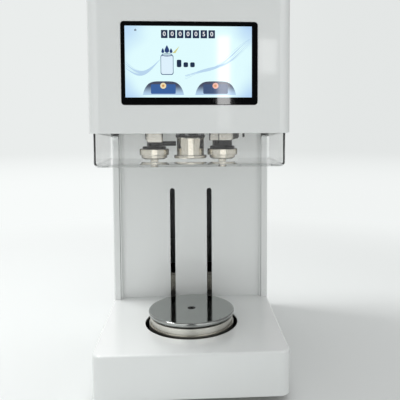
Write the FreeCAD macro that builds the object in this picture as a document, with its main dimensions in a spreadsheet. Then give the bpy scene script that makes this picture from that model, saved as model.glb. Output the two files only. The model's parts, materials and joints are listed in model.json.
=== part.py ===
"""Bench-top can seamer: a C-shaped machine with a lifting, turning table below a seaming head.

The can stands on the table, the table lifts it against the chuck, and two swinging rolls fold the seam.
Millimetres. Origin under the middle of the base, +X to the right, -Y to the front, +Z up.
"""
import FreeCAD
import Part
import Sketcher

import math
import os

from FreeCAD import Rotation, Vector

# ---------------------------------------------------------------------------------------------
# Driving dimensions. Each is one cell of the spreadsheet.
# ---------------------------------------------------------------------------------------------
SIZES = {
    # overall shape
    "body_width": 250,
    "body_depth": 370,
    "foot_height": 10,
    "base_height": 58,
    "throat_height": 274,
    "head_height": 205,
    "lid_height": 12,
    "head_setback": 8,
    "column_setback": 207,
    "panel_recess": 10,
    "rear_setback": 2,
    "sheet": 2,
    "corner_radius": 14.5,
    "edge_radius": 3,
    "hem_radius": 1.2,
    "fit_gap": 0.3,
    "seat_gap": 0.05,
    # feet
    "foot_radius": 15,
    "foot_inset": 32,
    "foot_taper": 2,
    # side covers
    "front_flange": 10.5,
    "head_front_depth": 27,
    "throat_slope": 10,
    "throat_radius": 7,
    # column panel and its slots
    "panel_bend": 8,
    "slot_spacing": 60,
    "slot_width": 8,
    "slot_top": 180.5,
    # rear cover
    "vent_width": 60,
    "vent_height": 4,
    "vent_pitch": 11,
    "vent_inset": 12,
    "vent_count": 7,
    "lower_vents": 100,
    # well in the base
    "spindle_setback": 110,
    "well_radius": 66.5,
    "liner_wall": 2,
    "liner_depth": 44,
    "liner_lip": 8.5,
    # table
    "table_height": 19,
    "plate_radius": 61.7,
    "plate_thick": 6,
    "plate_rim": 2.4,
    "plate_screw_radius": 5.8,
    "plate_screw_shank": 3,
    "plate_screw_socket": 2,
    "plate_screw_rise": 2,
    "drum_radius": 59.5,
    "drum_lip": 1.2,
    "drum_wall": 2.5,
    "drum_roof": 4,
    "drum_neck": 8.8,
    "drum_depth": 39,
    "drum_groove": 0.8,
    "drum_bevel": 0.5,
    "hub_gap": 2,
    "hub_radius": 28,
    "hub_play": 0.4,
    "bearing_bore": 10,
    "bearing_radius": 21,
    "bearing_width": 12,
    "race_wall": 3.6,
    "race_groove": 1,
    "bearing_lip": 3,
    "bearing_cap": 2,
    "boss_wall": 4,
    # lift
    "arm_width": 6,
    "arm_height": 6.4,
    "arm_reach": 30,
    "upright_depth": 12,
    "upright_height": 25,
    "carriage_gap": 4,
    "carriage_thick": 6,
    "carriage_width": 150,
    "carriage_height": 31,
    "carriage_depth": 62,
    "line_drop": 3,
    "line_width": 0.8,
    "screw_setback": 48,
    "screw_radius": 6,
    "journal_radius": 4,
    "journal_step": 1,
    "nut_radius": 11,
    "nut_flange": 18,
    "nut_height": 30,
    "flange_thick": 6,
    "rod_spacing": 120,
    "rod_radius": 5,
    "slider_radius": 9.5,
    "slider_height": 29,
    "coupling_radius": 12.5,
    "coupling_height": 30,
    "coupling_gap": 2,
    "coupling_bevel": 1,
    "lift_motor_width": 57,
    "lift_motor_height": 56,
    # frame
    "frame_wall": 4,
    "frame_half_width": 104,
    "frame_front": 16,
    "frame_rear_gap": 15,
    "frame_opening_gap": 2,
    "frame_rise": 184,
    "frame_arm_height": 74,
    "frame_arm_front": 35,
    "cross_low": 32,
    "cross_drop": 20,
    "cross_thick": 8,
    "back_plate_foot": 130,
    # head plate and spindle
    "head_plate_rise": 4,
    "head_plate_thick": 10,
    "housing_radius": 28,
    "housing_flange": 40,
    "housing_height": 96,
    "housing_lip": 6,
    "housing_bore": 18,
    "housing_drop": 2,
    "housing_clearance": 2,
    "spindle_radius": 10,
    "spindle_height": 145,
    "spindle_flange": 20.75,
    "spindle_flange_thick": 3,
    "spigot_radius": 8,
    "spigot_length": 8,
    "spigot_clearance": 1,
    # chuck
    "chuck_drop": 36.9,
    "chuck_lip": 22.9,
    "chuck_lip_height": 4.5,
    "chuck_radius": 19.1,
    "chuck_height": 29.4,
    "chuck_recess": 14,
    "chuck_recess_depth": 3,
    "chuck_bevel": 1,
    "chuck_flare": 1.2,
    "chuck_bolt_circle": 18,
    "chuck_bolt_head": 2.6,
    "chuck_bolt_high": 4.5,
    "chuck_bolt_shank": 1.5,
    "chuck_bolt_length": 8,
    "chuck_bolt_turn": 14,
    # spindle drive
    "belt_width": 16,
    "belt_thick": 2,
    "belt_gap": 10,
    "pulley_radius": 30,
    "motor_pulley_radius": 15,
    "pulley_flange": 3,
    "pulley_flange_thick": 2,
    "pulley_hub": 12.8,
    "pulley_hub_height": 6,
    "motor_offset": 77,
    "motor_width": 70,
    "motor_height": 90,
    "motor_shaft": 6,
    # roll arms
    "pivot_spread": 58,
    "pivot_setback": 173,
    "pivot_radius": 8,
    "bush_wall": 2,
    "bush_flange": 13,
    "bush_flange_thick": 1.7,
    "swing_radius": 64,
    "arm_nose": 13,
    "arm_tail": 14,
    "arm_tail_width": 17.5,
    "arm_bevel": 2,
    "arm_top_gap": 3,
    "left_angle": 6.37,
    "left_arm_width": 23,
    "left_arm_drop": 14,
    "right_angle": 11.35,
    "right_arm_width": 34,
    "right_arm_drop": 11.5,
    "right_slit": 1.2,
    "slit_gap": 2,
    "arm_edge_radius": 4,
    "lever_reach": 21,
    "lever_width": 12,
    "lever_thick": 6.5,
    "lever_setback": 32,
    "lever_inset": 2,
    # rolls
    "roll_drop": 37.8,
    "roll_height": 14.3,
    "left_roll_radius": 20.5,
    "right_roll_radius": 21.25,
    "roll_skirt": 18,
    "roll_nose": 14.5,
    "roll_band": 8,
    "roll_bevel": 0.7,
    "roll_chamfer": 2,
    "pin_radius": 4,
    "pin_head": 5.4,
    "pin_head_height": 4.5,
    "pin_bevel": 0.5,
    "pin_cap": 2,
    "left_washer": 16.5,
    "left_washer_thick": 3,
    "left_spacer": 9,
    "washer_bevel": 0.8,
    "right_washer": 17.5,
    "right_washer_thick": 3.6,
    "right_spacer": 14,
    # roll drive gears
    "gear_module": 1,
    "sector_teeth": 80,
    "sector_cut": 9,
    "pinion_teeth": 20,
    "gear_height": 10,
    "gear_backlash": 0.16,
    "gear_lift": 4,
    "sector_hub": 13,
    "sector_waist": 11.7,
    "sector_boss": 2,
    "pinion_overhang": 0.5,
    "pinion_bearing": 24,
    "pinion_hub": 6,
    "bracket_height": 24,
    "bracket_plate": 4,
    "bracket_leg": 3.5,
    "bracket_inset": 0.5,
    "bracket_width": 40,
    "bracket_depth": 42,
    "arm_motor_radius": 18.5,
    "arm_motor_height": 56,
    # guard
    "guard_gap": 3.3,
    "guard_wall": 3,
    "guard_front_gap": 0.5,
    "guard_drop": 42,
    "guard_back": 141,
    "guard_corner": 10,
    "guard_floor_radius": 6,
    "guard_window": 70,
    "guard_window_front": 62,
    "guard_window_radius": 20,
    "guard_screw_front": 50,
    "guard_screw_rear": 20,
    # display
    "display_width": 165,
    "display_height": 99.5,
    "display_foot": 35.2,
    "display_radius": 3.5,
    "display_gap": 0.6,
    "glass_thick": 2.3,
    "glass_proud": 0.3,
    "housing_margin": 3,
    "display_depth": 25,
    "board_width": 120,
    "board_height": 75,
    "board_thick": 1.6,
    "board_standoff": 3,
    "board_post_radius": 3,
    # power
    "supply_width": 98,
    "supply_height": 160,
    "supply_depth": 38,
    "supply_rise": 77,
    "inlet_x": 56,
    "inlet_rise": 18,
    "inlet_width": 28,
    "inlet_height": 48,
    "inlet_body_depth": 22,
    "inlet_bezel": 1.5,
    "socket_width": 22,
    "socket_height": 16,
    "socket_depth": 15,
    "socket_foot": 5,
    "blade_spacing": 6.9,
    "blade_rise": 6.2,
    "earth_rise": 9.4,
    "blade_thick": 2,
    "blade_tall": 4,
    "blade_inset": 3,
    "rocker_width": 13,
    "rocker_height": 19,
    "rocker_depth": 8,
    "rocker_tilt": 8,
    "rocker_foot": 25,
    "rocker_inset": 0.9,
    "rocker_room": 3,
    "rocker_swing": 1,
    "rocker_valley": 1,
    # fasteners
    "small_head": 2.8,
    "small_head_height": 1.6,
    "small_shank": 1.5,
    "small_length": 5,
    "screw_rows": 5,
    "screw_margin": 14,
}


class Size:
    """A number together with the spreadsheet formula that gives it."""

    def __init__(self, formula, value):
        self.formula = formula
        self.value = value

    def __add__(self, other):
        return combine("({} + {})", self, other, lambda a, b: a + b)

    def __radd__(self, other):
        return combine("({} + {})", other, self, lambda a, b: a + b)

    def __sub__(self, other):
        return combine("({} - {})", self, other, lambda a, b: a - b)

    def __rsub__(self, other):
        return combine("({} - {})", other, self, lambda a, b: a - b)

    def __mul__(self, other):
        return combine("({} * {})", self, other, lambda a, b: a * b)

    def __rmul__(self, other):
        return combine("({} * {})", other, self, lambda a, b: a * b)

    def __truediv__(self, other):
        return combine("({} / {})", self, other, lambda a, b: a / b)

    def __neg__(self):
        return combine("({} - {})", 0, self, lambda a, b: a - b)


def as_size(number):
    """Wrap a plain number, so that it can stand beside a named size."""
    return number if isinstance(number, Size) else Size(repr(float(number)), float(number))


def combine(pattern, first, second, rule):
    """Join two sizes by one rule, in the formula and in the value."""
    first = as_size(first)
    second = as_size(second)
    return Size(pattern.format(first.formula, second.formula), rule(first.value, second.value))


def sine(angle):
    """Sine of an angle in degrees."""
    return Size("sin({} * 1 deg)".format(angle.formula), math.sin(math.radians(angle.value)))


def cosine(angle):
    """Cosine of an angle in degrees."""
    return Size("cos({} * 1 deg)".format(angle.formula), math.cos(math.radians(angle.value)))


class Names:
    """The named sizes, one attribute each."""


doc = FreeCAD.newDocument("CanSeamer")
sheet = doc.addObject("Spreadsheet::Sheet", "Sizes")
s = Names()
for row, (alias, number) in enumerate(SIZES.items(), start=1):
    sheet.set("A{}".format(row), str(number))
    sheet.setAlias("A{}".format(row), alias)
    setattr(s, alias, Size("Sizes." + alias, float(number)))
doc.recompute()

# ---------------------------------------------------------------------------------------------
# Levels and planes that several pieces share
# ---------------------------------------------------------------------------------------------
half_width = s.body_width / 2
front = -s.body_depth / 2
back = s.body_depth / 2
rear_face = back - s.rear_setback
base_top = s.foot_height + s.base_height
head_floor = base_top + s.throat_height
head_top = head_floor + s.head_height
lid_foot = head_top - s.lid_height
head_front = front + s.head_setback
front_seam = head_front + s.head_front_depth
flange_face = front + s.column_setback
panel_face = flange_face + s.panel_recess
inner_side = half_width - s.sheet
spindle_y = front + s.spindle_setback
pivot_y = front + s.pivot_setback
screw_y = panel_face + s.screw_setback
plate_top = base_top + s.table_height
plate_foot = plate_top - s.plate_thick
drum_top = plate_foot - s.hub_gap
drum_roof_foot = drum_top - s.drum_roof
head_plate_foot = head_floor + s.head_plate_rise
head_plate_top = head_plate_foot + s.head_plate_thick
frame_front = panel_face + s.frame_front
frame_back = rear_face - s.frame_rear_gap
cross_low = s.foot_height + s.sheet + s.cross_low
cross_high = head_floor - s.cross_drop
chuck_foot = head_floor - s.chuck_drop
chuck_top = chuck_foot + s.chuck_height
bracket_top = head_plate_top + s.bracket_height
belt_foot = head_plate_top + s.motor_height + s.belt_gap
belt_top = belt_foot + s.belt_width
roll_foot = head_floor - s.roll_drop
roll_top = roll_foot + s.roll_height
frame_inner = s.frame_half_width - s.frame_wall


# ---------------------------------------------------------------------------------------------
# Helpers: each makes an object of the document, bound to the spreadsheet
# ---------------------------------------------------------------------------------------------
parts = {}


def node(name, thing):
    """Name a finished sub-part."""
    thing.Label = name
    parts[name] = thing
    return thing


def bind(thing, **properties):
    """Bind properties of an object to sizes."""
    for name, value in properties.items():
        thing.setExpression(name, as_size(value).formula)


def place(thing, x=0, y=0, z=0):
    """Bind an object's position to sizes."""
    for axis, value in zip("xyz", (x, y, z)):
        thing.setExpression("Placement.Base." + axis, as_size(value).formula)
    return thing


def block(x, y, z, name="Block"):
    """A box between pairs of limits."""
    thing = doc.addObject("Part::Box", name)
    spans = [as_size(high) - as_size(low) for low, high in (x, y, z)]
    bind(thing, Length=spans[0], Width=spans[1], Height=spans[2])
    return place(thing, x[0], y[0], z[0])


def rod(radius, span, x=0, y=0, z=0, along="z", name="Rod"):
    """A cylinder along an axis: span holds its two ends there, the other two places its centre."""
    thing = doc.addObject("Part::Cylinder", name)
    low = as_size(span[0])
    bind(thing, Radius=radius, Height=as_size(span[1]) - low)
    turns = {
        "x": Rotation(Vector(0, 1, 0), 90),
        "y": Rotation(Vector(1, 0, 0), -90),
        "z": Rotation(),
    }
    thing.Placement = FreeCAD.Placement(Vector(), turns[along])
    spot = {"x": x, "y": y, "z": z}
    spot[along] = low
    return place(thing, **spot)


def fused(*things, name="Joined"):
    """One solid made from several."""
    thing = doc.addObject("Part::MultiFuse", name)
    thing.Shapes = list(things)
    return thing


def cut(base, *tools, name="Cut"):
    """A solid with others taken away."""
    thing = doc.addObject("Part::Cut", name)
    thing.Base = base
    thing.Tool = tools[0] if len(tools) == 1 else fused(*tools, name="Tools")
    return thing


def group(things, name="Group"):
    """Separate solids that make one node."""
    thing = doc.addObject("Part::Compound", name)
    thing.Links = list(things)
    return thing


def mirrored(thing, name="Mirror"):
    """The same piece on the other side of the machine's middle."""
    copy = doc.addObject("Part::Mirroring", name)
    copy.Source = thing
    copy.Base = Vector(0, 0, 0)
    copy.Normal = Vector(1, 0, 0)
    return copy


def new_body(name):
    """An empty design body."""
    return doc.addObject("PartDesign::Body", name)


def outline(body, plane, points):
    """A closed sketch of straight lines, each corner bound to sizes."""
    sketch = body.newObject("Sketcher::SketchObject", body.Name + "Sketch")
    origin = [item for item in body.Origin.OriginFeatures if item.Role == plane + "_Plane"]
    sketch.AttachmentSupport = [(origin[0], "")]
    sketch.MapMode = "FlatFace"
    corners = [(as_size(u), as_size(v)) for u, v in points]
    spots = [Vector(u.value, v.value, 0) for u, v in corners]
    count = len(corners)
    sketch.addGeometry([Part.LineSegment(spots[i], spots[(i + 1) % count]) for i in range(count)])
    for i in range(count):
        sketch.addConstraint(Sketcher.Constraint("Coincident", i, 2, (i + 1) % count, 1))
    for i, (u, v) in enumerate(corners):
        for kind, size in (("DistanceX", u), ("DistanceY", v)):
            index = sketch.addConstraint(Sketcher.Constraint(kind, -1, 1, i, 1, size.value))
            sketch.setExpression("Constraints[{}]".format(index), size.formula)
    return sketch


def extruded(name, plane, points, low, high):
    """A body padded from an outline, between two levels along the plane's own axis."""
    body = new_body(name)
    sketch = outline(body, plane, points)
    pad = body.newObject("PartDesign::Pad", name + "Pad")
    pad.Profile = sketch
    pad.Reversed = plane == "XZ"
    bind(pad, Length=as_size(high) - as_size(low))
    axis = {"XY": "z", "XZ": "y", "YZ": "x"}[plane]
    return place(body, **{axis: low})


def turned(name, profile, x=0, y=0):
    """A body of revolution about a vertical axis: the profile's corners are (radius, level)."""
    body = new_body(name)
    sketch = outline(body, "XZ", profile)
    turn = body.newObject("PartDesign::Revolution", name + "Turn")
    turn.Profile = sketch
    turn.ReferenceAxis = (sketch, ["V_Axis"])
    turn.Angle = 360
    return place(body, x, y)


def edges_where(body, test):
    """Names of the edges of a body's last feature that pass a test on their two ends and middle."""
    doc.recompute()
    names = []
    for index, edge in enumerate(body.Tip.Shape.Edges, start=1):
        middle = edge.valueAt((edge.FirstParameter + edge.LastParameter) / 2)
        if test(edge.Vertexes[0].Point, middle, edge.Vertexes[-1].Point):
            names.append("Edge{}".format(index))
    return names


def rounded(body, radius, test):
    """Round the chosen edges of a body."""
    names = edges_where(body, test)
    last = body.Tip
    fillet = body.newObject("PartDesign::Fillet", body.Name + "Round")
    fillet.Base = (last, names)
    bind(fillet, Radius=radius)
    body.Tip = fillet
    return body


def shelled(body, wall, test):
    """Hollow a body to a wall inside its faces, open at the faces that pass a test on their middle."""
    doc.recompute()
    names = []
    for index, face in enumerate(body.Tip.Shape.Faces, start=1):
        normal = face.normalAt(0.5, 0.5)
        if test(face.CenterOfMass, normal):
            names.append("Face{}".format(index))
    last = body.Tip
    shell = body.newObject("PartDesign::Thickness", body.Name + "Shell")
    shell.Base = (last, names)
    shell.Reversed = True
    bind(shell, Value=wall)
    body.Tip = shell
    return body


def near(first, second):
    """Whether two plain numbers are the same to a hundredth."""
    return abs(first - second) < 0.01


def upright(start, middle, end):
    """Whether an edge stands along Z."""
    return near(start.x, end.x) and near(start.y, end.y) and not near(start.z, end.z)


def rectangle(x, y):
    """Corners of a rectangle between two pairs of limits."""
    return [(x[0], y[0]), (x[1], y[0]), (x[1], y[1]), (x[0], y[1])]


# ---------------------------------------------------------------------------------------------
# Base
# ---------------------------------------------------------------------------------------------
def make_base_plate():
    """Bottom sheet that closes the base and carries the feet and the frame."""
    edge_x = inner_side - s.fit_gap
    edge_y = back - s.sheet - s.fit_gap
    plan = rectangle((-edge_x, edge_x), (-edge_y, edge_y))
    body = extruded("BasePlate", "XY", plan, s.foot_height, s.foot_height + s.sheet)
    rounded(body, s.corner_radius - s.sheet - s.fit_gap, upright)
    node("base_plate", body)


def make_feet():
    """Four tapered rubber feet."""
    feet = []
    for x_sign in (-1, 1):
        for y_sign in (-1, 1):
            profile = [
                (0, 0),
                (s.foot_radius - s.foot_taper, 0),
                (s.foot_radius, s.foot_height),
                (0, s.foot_height),
            ]
            x = x_sign * (half_width - s.foot_inset)
            y = y_sign * (back - s.foot_inset)
            feet.append(turned("Foot", profile, x, y))
    node("rubber_feet", group(feet, "Feet"))


def make_base_cover():
    """Painted tray with round corners, a round well and an opening below the column."""
    plan = rectangle((-half_width, half_width), (front, back))
    body = extruded("BaseCover", "XY", plan, s.foot_height, base_top)
    rounded(body, s.corner_radius, upright)
    level = s.base_height.value
    rounded(body, s.edge_radius, lambda a, m, b: near(m.z, level) and near(a.z, b.z))
    shelled(body, s.sheet, lambda c, n: n.z < -0.9)
    well = rod(s.well_radius, (base_top - 2 * s.sheet, base_top + 1), 0, spindle_y, name="Well")
    side = s.frame_half_width + s.fit_gap
    opening = block(
        (-side, side),
        (frame_front - s.frame_opening_gap, frame_back + s.frame_opening_gap),
        (base_top - 2 * s.sheet, base_top + 1),
        name="ColumnOpening",
    )
    node("base_cover", cut(body, well, opening, name="BaseCoverCut"))


def make_well_liner():
    """Cup under the well that keeps spills out of the base."""
    top = base_top - s.sheet
    foot = base_top - s.liner_depth
    outer = s.well_radius + s.liner_wall
    profile = [
        (0, foot),
        (outer, foot),
        (outer, top - s.liner_wall),
        (s.well_radius + s.liner_lip, top - s.liner_wall),
        (s.well_radius + s.liner_lip, top),
        (s.well_radius, top),
        (s.well_radius, foot + s.liner_wall),
        (0, foot + s.liner_wall),
    ]
    node("well_liner", turned("WellLiner", profile, 0, spindle_y))


# ---------------------------------------------------------------------------------------------
# Frame and covers
# ---------------------------------------------------------------------------------------------
def make_frame():
    """Welded steel frame: two side plates with a forward arm, two cross plates and a back plate."""
    foot = s.foot_height + s.sheet
    top = head_plate_top + s.frame_rise - s.sheet
    arm_front = front + s.frame_arm_front
    side_profile = [
        (frame_front, foot),
        (frame_back, foot),
        (frame_back, top),
        (frame_front, top),
        (arm_front, head_plate_top + s.frame_arm_height),
        (arm_front, head_plate_top),
        (frame_front, head_plate_top),
    ]
    outer = s.frame_half_width
    sides = [
        extruded("FrameRight", "YZ", side_profile, frame_inner, outer),
        extruded("FrameLeft", "YZ", side_profile, -outer, -frame_inner),
    ]
    span = (-frame_inner, frame_inner)
    crosses = []
    for level in (cross_low, cross_high):
        crosses.append(block(span, (frame_front, frame_back), (level, level + s.cross_thick)))
    back_plate = block(
        span,
        (frame_back - s.frame_wall, frame_back),
        (s.foot_height + s.back_plate_foot, top),
    )
    bores = []
    bore_span = (cross_low, cross_high + s.cross_thick)
    for sign in (-1, 1):
        bores.append(rod(s.rod_radius + s.seat_gap, bore_span, sign * s.rod_spacing / 2, screw_y))
    bores.append(rod(s.nut_radius + s.seat_gap, bore_span, 0, screw_y))
    welded = fused(*sides, *crosses, back_plate, name="FrameWelded")
    node("column_frame", cut(welded, *bores, name="Frame"))


def make_side_covers():
    """Painted side walls of column and head, with folded front and rear flanges."""
    rear = rear_face - s.sheet
    low_edge = head_floor - s.throat_slope
    profile = [
        (flange_face, base_top),
        (rear, base_top),
        (rear, lid_foot),
        (front_seam, lid_foot),
        (front_seam, head_floor),
        (flange_face, low_edge),
    ]
    body = extruded("SideCover", "YZ", profile, half_width - s.front_flange, half_width)
    face = flange_face.value
    slope_end = low_edge.value
    rounded(body, s.throat_radius, lambda a, m, b: near(m.y, face) and near(m.z, slope_end))
    outer = s.front_flange.value
    rounded(body, s.edge_radius, lambda a, m, b: near(a.x, outer) and near(a.y, face) and near(b.y, face))
    shelled(body, s.sheet, open_side)
    guard_way = block(
        (half_width - s.front_flange - 1, inner_side),
        (front_seam - 1, flange_face - s.throat_radius),
        (low_edge - 1, head_floor + 2 * s.sheet),
    )
    right = cut(body, guard_way, *side_screw_holes(), name="SideCoverRight")
    node("right_side_cover", right)
    node("left_side_cover", mirrored(right, "SideCoverLeft"))


def open_side(centre, normal):
    """Whether a face of the side cover is left open: inside, top, bottom and front seam."""
    at_seam = near(centre.y, front_seam.value)
    at_foot = near(centre.z, base_top.value)
    return normal.x < -0.9 or normal.z > 0.9 or at_seam or at_foot


def side_screw_places():
    """Heights of the screws that hold the rear cover."""
    low = base_top + s.screw_margin
    step = (lid_foot - base_top - 2 * s.screw_margin) / (s.screw_rows - 1)
    return [low + step * row for row in range(int(s.screw_rows.value))]


def screw_x():
    """Distance of the rear screws from the machine's middle."""
    return half_width - s.front_flange / 2 - s.sheet / 2


def side_screw_holes():
    """Holes for the rear screws in the right side cover's rear flange."""
    span = (rear_face - 3 * s.sheet, rear_face)
    radius = s.small_shank + s.seat_gap
    return [rod(radius, span, screw_x(), 0, z, along="y") for z in side_screw_places()]


def make_column_panel():
    """Recessed front panel of the column, folded forward at both sides, with two lift slots."""
    edge = half_width - s.front_flange - s.fit_gap
    lip = flange_face + s.sheet + s.fit_gap
    plan = rectangle((-edge, edge), (lip, panel_face + s.sheet))
    body = extruded("ColumnPanel", "XY", plan, base_top, head_plate_foot)
    rear = (panel_face + s.sheet).value
    rounded(body, s.panel_bend, lambda a, m, b: upright(a, m, b) and near(m.y, rear))
    height = (head_plate_foot - base_top).value
    shelled(body, s.sheet, lambda c, n: n.y < -0.9 or near(c.z, 0) or near(c.z, height))
    tools = []
    span_y = (panel_face - 1, panel_face + s.sheet + 1)
    for sign in (-1, 1):
        middle = sign * s.slot_spacing / 2
        limits = (middle - s.slot_width / 2, middle + s.slot_width / 2)
        top = base_top + s.slot_top - s.slot_width / 2
        tools.append(block(limits, span_y, (base_top - 1, top)))
        tools.append(rod(s.slot_width / 2, span_y, middle, 0, top, along="y"))
    node("column_front_panel", cut(body, *tools, name="ColumnPanelCut"))


def make_rear_cover():
    """Flat rear cover with two columns of vent slots, screw holes and the inlet window."""
    edge = half_width - s.sheet
    plate = block((-edge, edge), (rear_face - s.sheet, rear_face), (base_top, lid_foot))
    span = (rear_face - 2 * s.sheet, rear_face + 1)
    tools = []
    end_radius = s.vent_height / 2
    for bank in (base_top + s.lower_vents, head_plate_top + s.vent_pitch):
        for left in (s.vent_inset, -s.vent_inset - s.vent_width):
            ends = (left + end_radius, left + s.vent_width - end_radius)
            for index in range(int(s.vent_count.value)):
                low = bank + s.vent_pitch * index
                tools.append(block(ends, span, (low, low + s.vent_height), name="Vent"))
                for x in ends:
                    tools.append(rod(end_radius, span, x, 0, low + end_radius, along="y"))
    for z in side_screw_places():
        for sign in (-1, 1):
            tools.append(rod(s.small_shank + s.seat_gap, span, sign * screw_x(), 0, z, along="y"))
    tools.append(inlet_block(-s.fit_gap, span))
    node("rear_cover", cut(plate, *tools, name="RearCover"))


def make_head_front():
    """Painted front of the head: a U in plan with round corners and the display window."""
    plan = rectangle((-half_width, half_width), (head_front, front_seam))
    body = extruded("HeadFront", "XY", plan, head_floor, lid_foot)
    face = head_front.value
    rounded(body, s.corner_radius, lambda a, m, b: upright(a, m, b) and near(m.y, face))
    height = (lid_foot - head_floor).value
    shelled(body, s.sheet, lambda c, n: n.y > 0.9 or near(c.z, 0) or near(c.z, height))
    rounded(body, s.hem_radius, lambda a, m, b: near(a.z, 0) and near(b.z, 0) and on_head_skin(m))
    window = display_block("Window", s.display_gap, (head_front - 1, head_front + s.sheet + 1))
    node("head_front_cover", cut(body, window, name="HeadFrontCut"))


def on_head_skin(point):
    """Whether a point lies on the outside of the head's front, round corners included."""
    across = abs(point.x) - (half_width - s.corner_radius).value
    along = (head_front + s.corner_radius).value - point.y
    if across > 0 and along > 0:
        return near(math.hypot(across, along), s.corner_radius.value)
    return near(across, s.corner_radius.value) or near(along, s.corner_radius.value)


def make_head_lid():
    """Painted lid of the head with a rounded rim."""
    plan = rectangle((-half_width, half_width), (head_front, rear_face))
    body = extruded("HeadLid", "XY", plan, lid_foot, head_top)
    face = head_front.value
    rounded(body, s.corner_radius, lambda a, m, b: upright(a, m, b) and near(m.y, face))
    level = s.lid_height.value
    rounded(body, s.edge_radius, lambda a, m, b: near(m.z, level) and near(a.z, b.z))
    shelled(body, s.sheet, lambda c, n: n.z < -0.9)
    node("head_top_cover", body)


# ---------------------------------------------------------------------------------------------
# Display and electronics
# ---------------------------------------------------------------------------------------------
def display_block(name, margin, span_y):
    """A plate with the display's outline and round corners, grown by a margin all round."""
    side = s.display_width / 2 + margin
    low = head_floor + s.display_foot - margin
    high = head_floor + s.display_foot + s.display_height + margin
    face = [(-side, low), (side, low), (side, high), (-side, high)]
    body = extruded(name, "XZ", face, span_y[0], span_y[1])
    return rounded(body, s.display_radius + margin, lambda a, m, b: not near(a.y, b.y))


def make_display():
    """Touch glass in the window, and the tray behind it that holds the panel."""
    glass_front = head_front - s.glass_proud
    glass_back = glass_front + s.glass_thick
    node("display_glass", display_block("DisplayGlass", as_size(0), (glass_front, glass_back)))
    side = s.display_width / 2 + s.housing_margin
    low = head_floor + s.display_foot - s.housing_margin
    high = low + s.display_height + 2 * s.housing_margin
    deep = glass_back + s.display_depth
    tray = block((-side, side), (glass_back, deep), (low, high))
    posts = []
    middle = (low + high) / 2
    for x_sign in (-1, 1):
        for z_sign in (-1, 1):
            x = x_sign * (s.board_width / 2 - 2 * s.board_post_radius)
            z = middle + z_sign * (s.board_height / 2 - 2 * s.board_post_radius)
            posts.append(rod(s.board_post_radius, (deep, deep + s.board_standoff), x, 0, z, along="y"))
    node("display_housing", fused(tray, *posts, name="DisplayHousing"))
    board = block(
        (-s.board_width / 2, s.board_width / 2),
        (deep + s.board_standoff, deep + s.board_standoff + s.board_thick),
        (middle - s.board_height / 2, middle + s.board_height / 2),
    )
    node("control_board", board)


def make_power_supply():
    """Closed power supply on the frame's back plate."""
    rear = frame_back - s.frame_wall
    low = base_top + s.supply_rise
    case = block(
        (-s.supply_width / 2, s.supply_width / 2),
        (rear - s.supply_depth, rear),
        (low, low + s.supply_height),
    )
    node("power_supply", case)


def inlet_block(inset, span_y):
    """The inlet module's outline between two planes, taken in by an inset."""
    low = base_top + s.inlet_rise
    return block(
        (-s.inlet_x - s.inlet_width / 2 + inset, -s.inlet_x + s.inlet_width / 2 - inset),
        span_y,
        (low + inset, low + s.inlet_height - inset),
    )


def rocker_middle():
    """Height of the rocker switch's middle."""
    return base_top + s.inlet_rise + s.rocker_foot + s.rocker_height / 2


def make_inlet():
    """Mains inlet with its three pins, and the switch seat above it."""
    outer = rear_face + s.inlet_bezel
    inner = rear_face - s.inlet_body_depth
    body = inlet_block(as_size(0), (inner, outer))
    low = base_top + s.inlet_rise + s.socket_foot
    side = s.socket_width / 2
    depth = outer - s.socket_depth
    socket = block(
        (-s.inlet_x - side, -s.inlet_x + side),
        (depth, outer + 1),
        (low, low + s.socket_height),
    )
    seat_side = s.rocker_width / 2 + s.fit_gap
    seat_high = s.rocker_height / 2 + s.fit_gap + s.rocker_swing
    seat = block(
        (-s.inlet_x - seat_side, -s.inlet_x + seat_side),
        (outer - s.rocker_depth - s.rocker_room, outer + 1),
        (rocker_middle() - seat_high, rocker_middle() + seat_high),
    )
    hollow = cut(body, socket, seat, name="InletHollow")
    blades = []
    wide = s.blade_thick / 2
    tall = s.blade_tall / 2
    for index, rise in ((-1, s.blade_rise), (0, s.earth_rise), (1, s.blade_rise)):
        x = -s.inlet_x + index * s.blade_spacing
        z = low + rise
        limits = (x - wide, x + wide)
        blades.append(block(limits, (depth - 1, outer - s.blade_inset), (z - tall, z + tall), name="Blade"))
    node("power_inlet", fused(hollow, *blades, name="Inlet"))


def make_rocker():
    """Rocker with two flat pads that meet in a shallow valley, tipped to its on side."""
    half = s.rocker_height / 2
    profile = [
        (-s.rocker_depth / 2, -half),
        (s.rocker_depth / 2, -half),
        (s.rocker_depth / 2 - s.rocker_valley, 0),
        (s.rocker_depth / 2, half),
        (-s.rocker_depth / 2, half),
    ]
    body = extruded("Rocker", "YZ", profile, 0, s.rocker_width)
    body.Placement = FreeCAD.Placement(Vector(), Rotation(Vector(1, 0, 0), s.rocker_tilt.value))
    middle_y = rear_face + s.inlet_bezel - s.rocker_depth / 2 - s.rocker_inset
    place(body, -s.inlet_x - s.rocker_width / 2, middle_y, rocker_middle())
    node("switch_rocker", body)


# ---------------------------------------------------------------------------------------------
# Head plate, spindle and its drive
# ---------------------------------------------------------------------------------------------
def guard_inner():
    """Inside face of the guard's side walls."""
    return inner_side - s.guard_gap - s.guard_wall


def make_head_plate():
    """Thick steel plate that carries the spindle and the roll arms."""
    side = guard_inner()
    plate = block(
        (-side, side),
        (front + s.frame_arm_front, frame_front),
        (head_plate_foot, head_plate_top),
    )
    span = (head_plate_foot - 1, head_plate_top + 1)
    tools = [rod(s.housing_radius + s.seat_gap, span, 0, spindle_y)]
    for sign in (-1, 1):
        tools.append(rod(s.pivot_radius + s.bush_wall + s.seat_gap, span, sign * s.pivot_spread, pivot_y))
    node("head_plate", cut(plate, *tools, name="HeadPlate"))


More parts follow.
